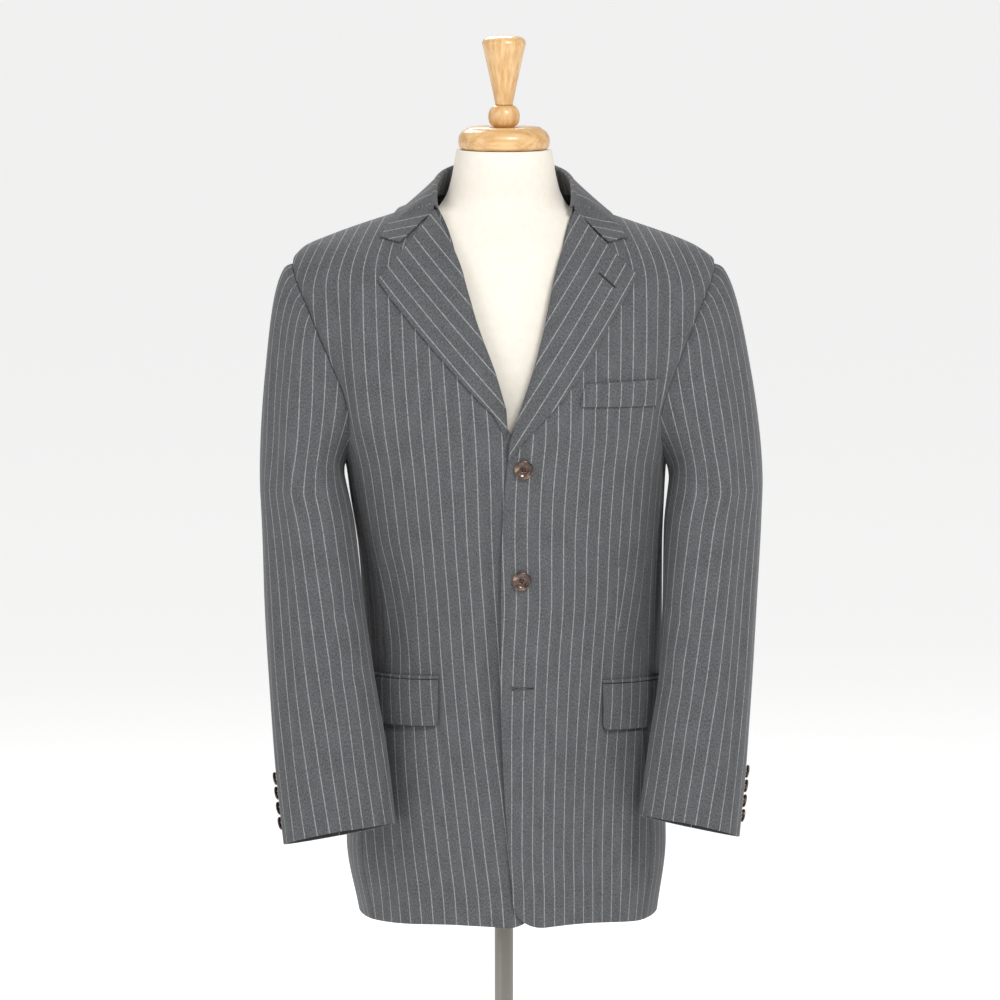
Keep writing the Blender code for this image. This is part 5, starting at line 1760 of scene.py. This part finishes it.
# %% The torso
Inset = namedtuple("Inset", "height inset")
FORM = (
    Inset(0.790, 0.0200), Inset(1.060, 0.0170), Inset(1.260, 0.0150), Inset(1.373, 0.0110),
    Inset(1.430, 0.0078), Inset(1.455, 0.0066), Inset(1.475, 0.0070), Inset(1.486, 0.0092),
    Inset(1.494, 0.0105), Inset(1.500, 0.0145), Inset(1.510, 0.0115), Inset(1.520, 0.0075),
    Inset(1.540, 0.0030), Inset(1.551, 0.0026),
)
FORM_FOOT = 0.790
NECK_TOP = 1.551
FORM_ROWS = 110
FORM_COLUMNS = 120


def form_ring(z):
    """One level ring of the torso."""
    section = smooth_row(BODY, z)
    inset = smooth_row(FORM, z).inset
    power = 2 / section.roundness
    ring = []
    for i in range(FORM_COLUMNS):
        angle = 2 * math.pi * i / FORM_COLUMNS
        c, s = math.cos(angle), math.sin(angle)
        width = section.left if c >= 0 else section.right
        depth = section.back if s >= 0 else section.front
        p = Vector((math.copysign(width * abs(c) ** power, c),
                    math.copysign(depth * abs(s) ** power, s), z))
        sunk = p - body_normal(p) * inset
        sunk.z = min(max(sunk.z, FORM_FOOT), NECK_TOP)
        ring.append(sunk)
    return ring


bm = bmesh.new()
loops = []
for k in range(FORM_ROWS + 1):
    z = mix(FORM_FOOT, NECK_TOP, 1 - (1 - k / FORM_ROWS) ** 1.7)
    loops.append([bm.verts.new(p) for p in form_ring(round(z, 6))])
for vert in loops[0]:
    vert.co.z = FORM_FOOT
for vert in loops[-1]:
    vert.co.z = NECK_TOP
for low, high in zip(loops, loops[1:]):
    for i in range(FORM_COLUMNS):
        j = (i + 1) % FORM_COLUMNS
        bm.faces.new((low[i], low[j], high[j], high[i]))
bm.faces.new(loops[0][::-1])
bm.faces.new(loops[-1])
layer = bm.loops.layers.uv.new("knit")
for face in bm.faces:
    for loop in face.loops:
        co = loop.vert.co
        loop[layer].uv = (math.atan2(co.x, -co.y) * 0.15, co.z)
torso = new_piece("form_torso_jersey", bm, jersey)
soften(torso, 0.0012, 3)
dress(torso, "form_torso")

# %% [markdown]
# Cap, ball and finial are turned beech under a clear varnish. The grain of the finial runs up
# it, and that of the flat cap across it.

# %% Beech
def beech(name, scale):
    """Varnished beech; a small scale along an axis draws the grain out that way."""
    material, tree, shader = principled(name, {
        "Roughness": 0.38, "Coat Weight": 0.5, "Coat Roughness": 0.12})
    where = add(tree, "ShaderNodeTexCoord").outputs["Object"]
    rings = drawn_noise(tree, where, scale, Detail=4.0, Roughness=0.6)
    ramp = add(tree, "ShaderNodeValToRGB", None, {"Fac": rings})
    stops = ramp.color_ramp.elements
    stops[0].position, stops[0].color = 0.34, linear("C8975A")
    stops[1].position, stops[1].color = 0.66, linear("E6C08A")
    tree.links.new(ramp.outputs["Color"], shader.inputs["Base Color"])
    return material


upright_beech = beech("beech_upright_grain", (190, 190, 14))
level_beech = beech("beech_level_grain", (14, 170, 170))


def rounded(profile, steps=4):
    """A profile with a smooth curve through its points; its flat ends stay flat."""
    curve = profile[1:-1]
    points = [profile[0]]
    for i in range(len(curve) - 1):
        around = [curve[min(max(i + k, 0), len(curve) - 1)] for k in (-1, 0, 1, 2)]
        for k in range(steps):
            points.append(tuple(max(through(*values, k / steps), 0.0) for values in zip(*around)))
    return points + list(profile[-2:])


NECK_CAP = (
    (0.0, 1.5513), (0.0440, 1.5513), (0.0475, 1.5530), (0.0490, 1.5570), (0.0490, 1.5620),
    (0.0478, 1.5665), (0.0448, 1.5705), (0.0410, 1.5730), (0.0385, 1.5750), (0.0, 1.5750),
)
BALL = (
    (0.0, 1.5753), (0.0110, 1.5753), (0.0150, 1.5785), (0.0168, 1.5830), (0.0169, 1.5880),
    (0.0155, 1.5930), (0.0125, 1.5970), (0.0098, 1.5985), (0.0, 1.5985),
)
FINIAL = (
    (0.0, 1.5988), (0.0094, 1.5988), (0.0112, 1.6080), (0.0145, 1.6240), (0.0185, 1.6420),
    (0.0216, 1.6560), (0.0231, 1.6620), (0.0234, 1.6650), (0.0215, 1.6690), (0.0165, 1.6718),
    (0.0090, 1.6730), (0.0, 1.6733),
)
for node, profile, material in (("neck_cap", NECK_CAP, level_beech),
                                ("finial_ball", BALL, upright_beech),
                                ("finial", FINIAL, upright_beech)):
    piece = new_piece(f"{node}_beech", turned(rounded(profile), 96), material)
    dress(piece, node)

# %% [markdown]
# Pole and base are steel, brushed round and round, so their highlights spread across the
# brushing. The photograph ends above the base, which is finished as such stands usually are.

# %% Brushed steel
BRUSHING_SCALE = (25, 25, 1400)
steel, tree, shader = principled("brushed_stainless_steel", {
    "Metallic": 1.0, "Base Color": linear("9C9992")})
where = add(tree, "ShaderNodeTexCoord").outputs["Object"]
gloss = add(tree, "ShaderNodeMapRange", None, {
    "Value": drawn_noise(tree, where, BRUSHING_SCALE, Detail=3.0),
    "To Min": 0.24, "To Max": 0.42})
tree.links.new(gloss.outputs["Result"], shader.inputs["Roughness"])

POLE_RADIUS = 0.0103
BASE_RADIUS = 0.170
BASE_THICKNESS = 0.012
BASE_EDGE = 0.004
pole_foot, pole_top = BASE_THICKNESS + SEAM, FORM_FOOT - SEAM
POLE = ((0.0, pole_foot), (POLE_RADIUS, pole_foot), (POLE_RADIUS, pole_top), (0.0, pole_top))
BASE_CHAMFER = 0.001
BASE = [(0.0, 0.0), (BASE_RADIUS - BASE_CHAMFER, 0.0), (BASE_RADIUS, BASE_CHAMFER)]
for k in range(9):
    angle = math.radians(90 * k / 8)
    BASE.append((BASE_RADIUS - BASE_EDGE * (1 - math.cos(angle)),
                 BASE_THICKNESS - BASE_EDGE * (1 - math.sin(angle))))
BASE.append((0.0, BASE_THICKNESS))
for node, profile, segments in (("pole", POLE, 64), ("base_plate", BASE, 160)):
    piece = new_piece(f"{node}_steel", turned(profile, segments), steel)
    soften(piece, 0.0003)
    dress(piece, node)

# %% [markdown]
# Last comes the sewing that shows. Buttonholes are edged with thread: the lowest front one is
# a keyhole, with an eyelet where the button's shank sits, and the lapel has a straight one.
# Each is a thin cord on the cloth round a dark slit.

# %% Buttonholes
BUTTONHOLE_TWIST = 0.00045
SLIT_HALF_WIDTH = 0.0009
buttonhole_thread, _, _ = principled("grey_buttonhole_twist", {
    "Base Color": linear("4A4846"), "Roughness": 0.75})
slit_dark, _, _ = principled("slit_shadow_wool", {
    "Base Color": linear("17171A"), "Roughness": 0.95})


def cord(bm, points, radius):
    """Add a thin closed cord of thread along a ring of points."""
    loops = []
    for i, p in enumerate(points):
        along = (points[(i + 1) % len(points)] - points[i - 1]).normalized()
        side_way = along.cross(Vector((0.3, -1.0, 0.2))).normalized()
        up = along.cross(side_way).normalized()
        loops.append([bm.verts.new(p + (side_way * math.cos(a) + up * math.sin(a)) * radius)
                      for a in [2 * math.pi * k / 6 for k in range(6)]])
    for low, high in zip(loops, loops[1:] + loops[:1]):
        for k in range(6):
            bm.faces.new((low[k], low[(k + 1) % 6], high[(k + 1) % 6], high[k]))
    bmesh.ops.recalc_face_normals(bm, faces=bm.faces[:])


def keyhole_path(length, eyelet):
    """Outline of a buttonhole lying along X, with its eyelet, if any, at the start."""
    steps = 24
    outline, start = [(0.0, 0.0)], 0.0012
    if eyelet:
        angles = [math.radians(320 - 28 * k) for k in range(11)]
        outline = [(eyelet * (1 - math.cos(a)), eyelet * math.sin(a)) for a in angles]
        start = eyelet * 1.9
    lower = [(mix(start, length, k / steps), -SLIT_HALF_WIDTH) for k in range(steps + 1)]
    upper = [(x, SLIT_HALF_WIDTH) for x, _ in reversed(lower)]
    return outline + lower + upper


def on_front(x, z, lift):
    base = body_by_width(x, z, -1)
    return base + body_normal(base) * (lift + wear(base))


def buttonhole(name, start, end, eyelet, surface):
    """The thread and the slit of one buttonhole, on a surface given by x and z."""
    run = Vector((end[0] - start[0], end[1] - start[1]))
    along, across = run.normalized(), Vector((-run.y, run.x)).normalized()

    def put(x, y, lift):
        where = Vector(start) + along * x + across * y
        return surface(where.x, where.y, lift)

    bm = bmesh.new()
    ring = keyhole_path(run.length, eyelet)
    cord(bm, [put(x, y, 0.0002) for x, y in ring], BUTTONHOLE_TWIST)
    thread = new_piece(f"{name}_thread", bm, buttonhole_thread)
    bm = bmesh.new()
    bm.faces.new([bm.verts.new(put(x, y, 0.0001)) for x, y in ring])
    bmesh.ops.triangulate(bm, faces=bm.faces[:])
    slit = new_piece(f"{name}_slit", bm, slit_dark)
    for piece in (thread, slit):
        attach(piece, "root")


def on_left_lapel(x, z, lift):
    """Point of the wearer's left lapel in front of x and z, found by closing in on it."""
    u, v, reach = 0.6, 0.85, 0.2
    while reach > 0.0002:
        choices = []
        for i in (-1, 0, 1):
            for j in (-1, 0, 1):
                at_u = min(max(u + i * reach, LAPEL_TURN), 0.999)
                at_v = min(max(v + j * reach, TAIL_SHARE), 0.999)
                place = lapel_place(1, at_u, at_v)
                choices.append((math.hypot(place[0] - x, place[1] - z), at_u, at_v))
        _, u, v = min(choices)
        reach /= 1.6
    point = lapel_point(1, u, v)
    return point + body_normal(body_by_width(x, z, -1)) * lift


buttonhole("buttonhole_bottom", (0.0073, 0.9895), (0.0314, 0.9895), 0.0019, on_front)
buttonhole("buttonhole_lapel", (0.0990, 1.4257), (0.1172, 1.4101), 0.0, on_left_lapel)
print("buttonholes worked")

# %% [markdown]
# Every piece of cloth states the flat size it was cut to, without turnings: the rectangle it fits
# in and its area. The narrow jets go with the fronts. The sizes are drafted as a cutter does it,
# in strips, from the girths of the body, the lengths of the arms and the lines of the lapels and
# collar. No crease is counted, so the frame's own measure of the finished pieces tests the draft.

# %% Flat sizes of the cloth
Flat = namedtuple("Flat", "width length area")
DRAFT_ROWS = 15
UNDER_THE_ROLL = LAPEL_TURNS_BY * (CLOTH + REST + ROLL_LIFT) / 2


def in_strips(rows):
    """Flat size of a piece, from its width at rising distances along its length."""
    area = sum((a[1] + b[1]) / 2 * (b[0] - a[0]) for a, b in zip(rows, rows[1:]))
    return Flat(max(width for _, width in rows), rows[-1][0] - rows[0][0], area)


def panel_cut(side, place, way):
    """A front or back, as wide at each height as the body between its two edges."""
    rows = []
    for k in range(DRAFT_ROWS + 1):
        inner, outer = place(side, 0.0, k / DRAFT_ROWS), place(side, 1.0, k / DRAFT_ROWS)
        across = girth(outer[0], outer[1], way) - girth(inner[0], inner[1], way)
        rows.append(((inner[1] + outer[1]) / 2, abs(across)))
    return in_strips(rows)


def side_cut(underarm):
    rows = []
    for k in range(DRAFT_ROWS + 1):
        z = mix(HEM_HEIGHT, underarm, k / DRAFT_ROWS)
        seams = smooth_row(SIDE_SEAMS, z)
        rows.append((z, seams.front + seams.back))
    return in_strips(rows)


def sleeve_cut(side, first, last, head):
    """A sleeve piece between two places, with a head above it like half an ellipse."""
    angles = [2 * math.pi * place / ROUND for place in range(first, last + 1)]
    rows, along, below = [], 0.0, None
    for k in range(DRAFT_ROWS + 1):
        centre, _, _, across, depth = arm_frame(side, round(1 - k / DRAFT_ROWS, 6))
        if below is not None:
            along += (centre - below).length
        ring = [(across * math.cos(a), depth * math.sin(a)) for a in angles]
        rows.append((along, sum(math.dist(a, b) for a, b in zip(ring, ring[1:]))))
        below = centre
    arm = in_strips(rows)
    return Flat(arm.width, arm.length + head, arm.area + math.pi / 4 * rows[-1][1] * head)


def lapel_cut(side):
    rows, along, below = [], 0.0, None
    for k in range(DRAFT_ROWS + 1):
        row, _ = tailed_row(side, k / DRAFT_ROWS)
        roll = Vector((girth(row.roll_x, row.roll_z, -1), row.roll_z))
        edge = Vector((girth(row.edge_x, row.edge_z, -1), row.edge_z))
        middle = (roll + edge) / 2
        if below is not None:
            along += (middle - below).length
        rows.append((along, (edge - roll).length + UNDER_THE_ROLL))
        below = middle
    return in_strips(rows)


def collar_cut():
    """The collar is drafted from the middle of the back to one end, and doubled."""
    rows = []
    for k in range(DRAFT_ROWS + 1):
        seam, fold, edge = collar_lines(k / DRAFT_ROWS)
        along = COLLAR_LENGTHS[k * COLLAR_STEPS // DRAFT_ROWS]
        rows.append((along, (fold - seam).length + (edge - fold).length))
    half = in_strips(rows)
    return Flat(half.width, half.length * 2, half.area * 2)


def welt_cut():
    inner, outer = (girth(x, WELT_LOW.inner_z, -1) for x in (WELT_LOW.inner_x, WELT_LOW.outer_x))
    heights = (WELT_HIGH.inner_z - WELT_LOW.inner_z, WELT_HIGH.outer_z - WELT_LOW.outer_z)
    return Flat(outer - inner, max(heights), (outer - inner) * sum(heights) / 2)


def cut_from(node, flat):
    print(node, "flat %.3f x %.3f m, %.4f m2" % flat)


flap_cut = Flat(FLAP_LENGTH, FLAP_HEIGHT,
                FLAP_LENGTH * FLAP_HEIGHT - (2 - math.pi / 2) * FLAP_CORNER ** 2)
for side, word in SIDES:
    front, side_piece = f"front_{word}", f"side_{word}"
    arm_top, underarm = arm_frame(side, 0.0)[0].z, armhole_at(side, ROUND / 2).z
    cut_from(front, panel_cut(side, front_place, -1))
    cut_from(f"back_{word}", panel_cut(side, back_place, 1))
    cut_from(side_piece, side_cut(underarm))
    cut_from(f"upper_sleeve_{word}", sleeve_cut(
        side, UNDER_TO - ROUND, UNDER_FROM, SHOULDER_HEIGHT - arm_top))
    cut_from(f"under_sleeve_{word}", sleeve_cut(
        side, UNDER_FROM, UNDER_TO, underarm - arm_top))
    cut_from(f"lapel_{word}", lapel_cut(side))
    cut_from(f"pocket_flap_{word}", flap_cut)
cut_from("collar", collar_cut())
cut_from("breast_welt", welt_cut())

# %% [markdown]
# The box round everything that is shown, leaving out the floor, is printed.

# %% Finish
low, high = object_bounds()
print("visual box", tuple(low), tuple(high))
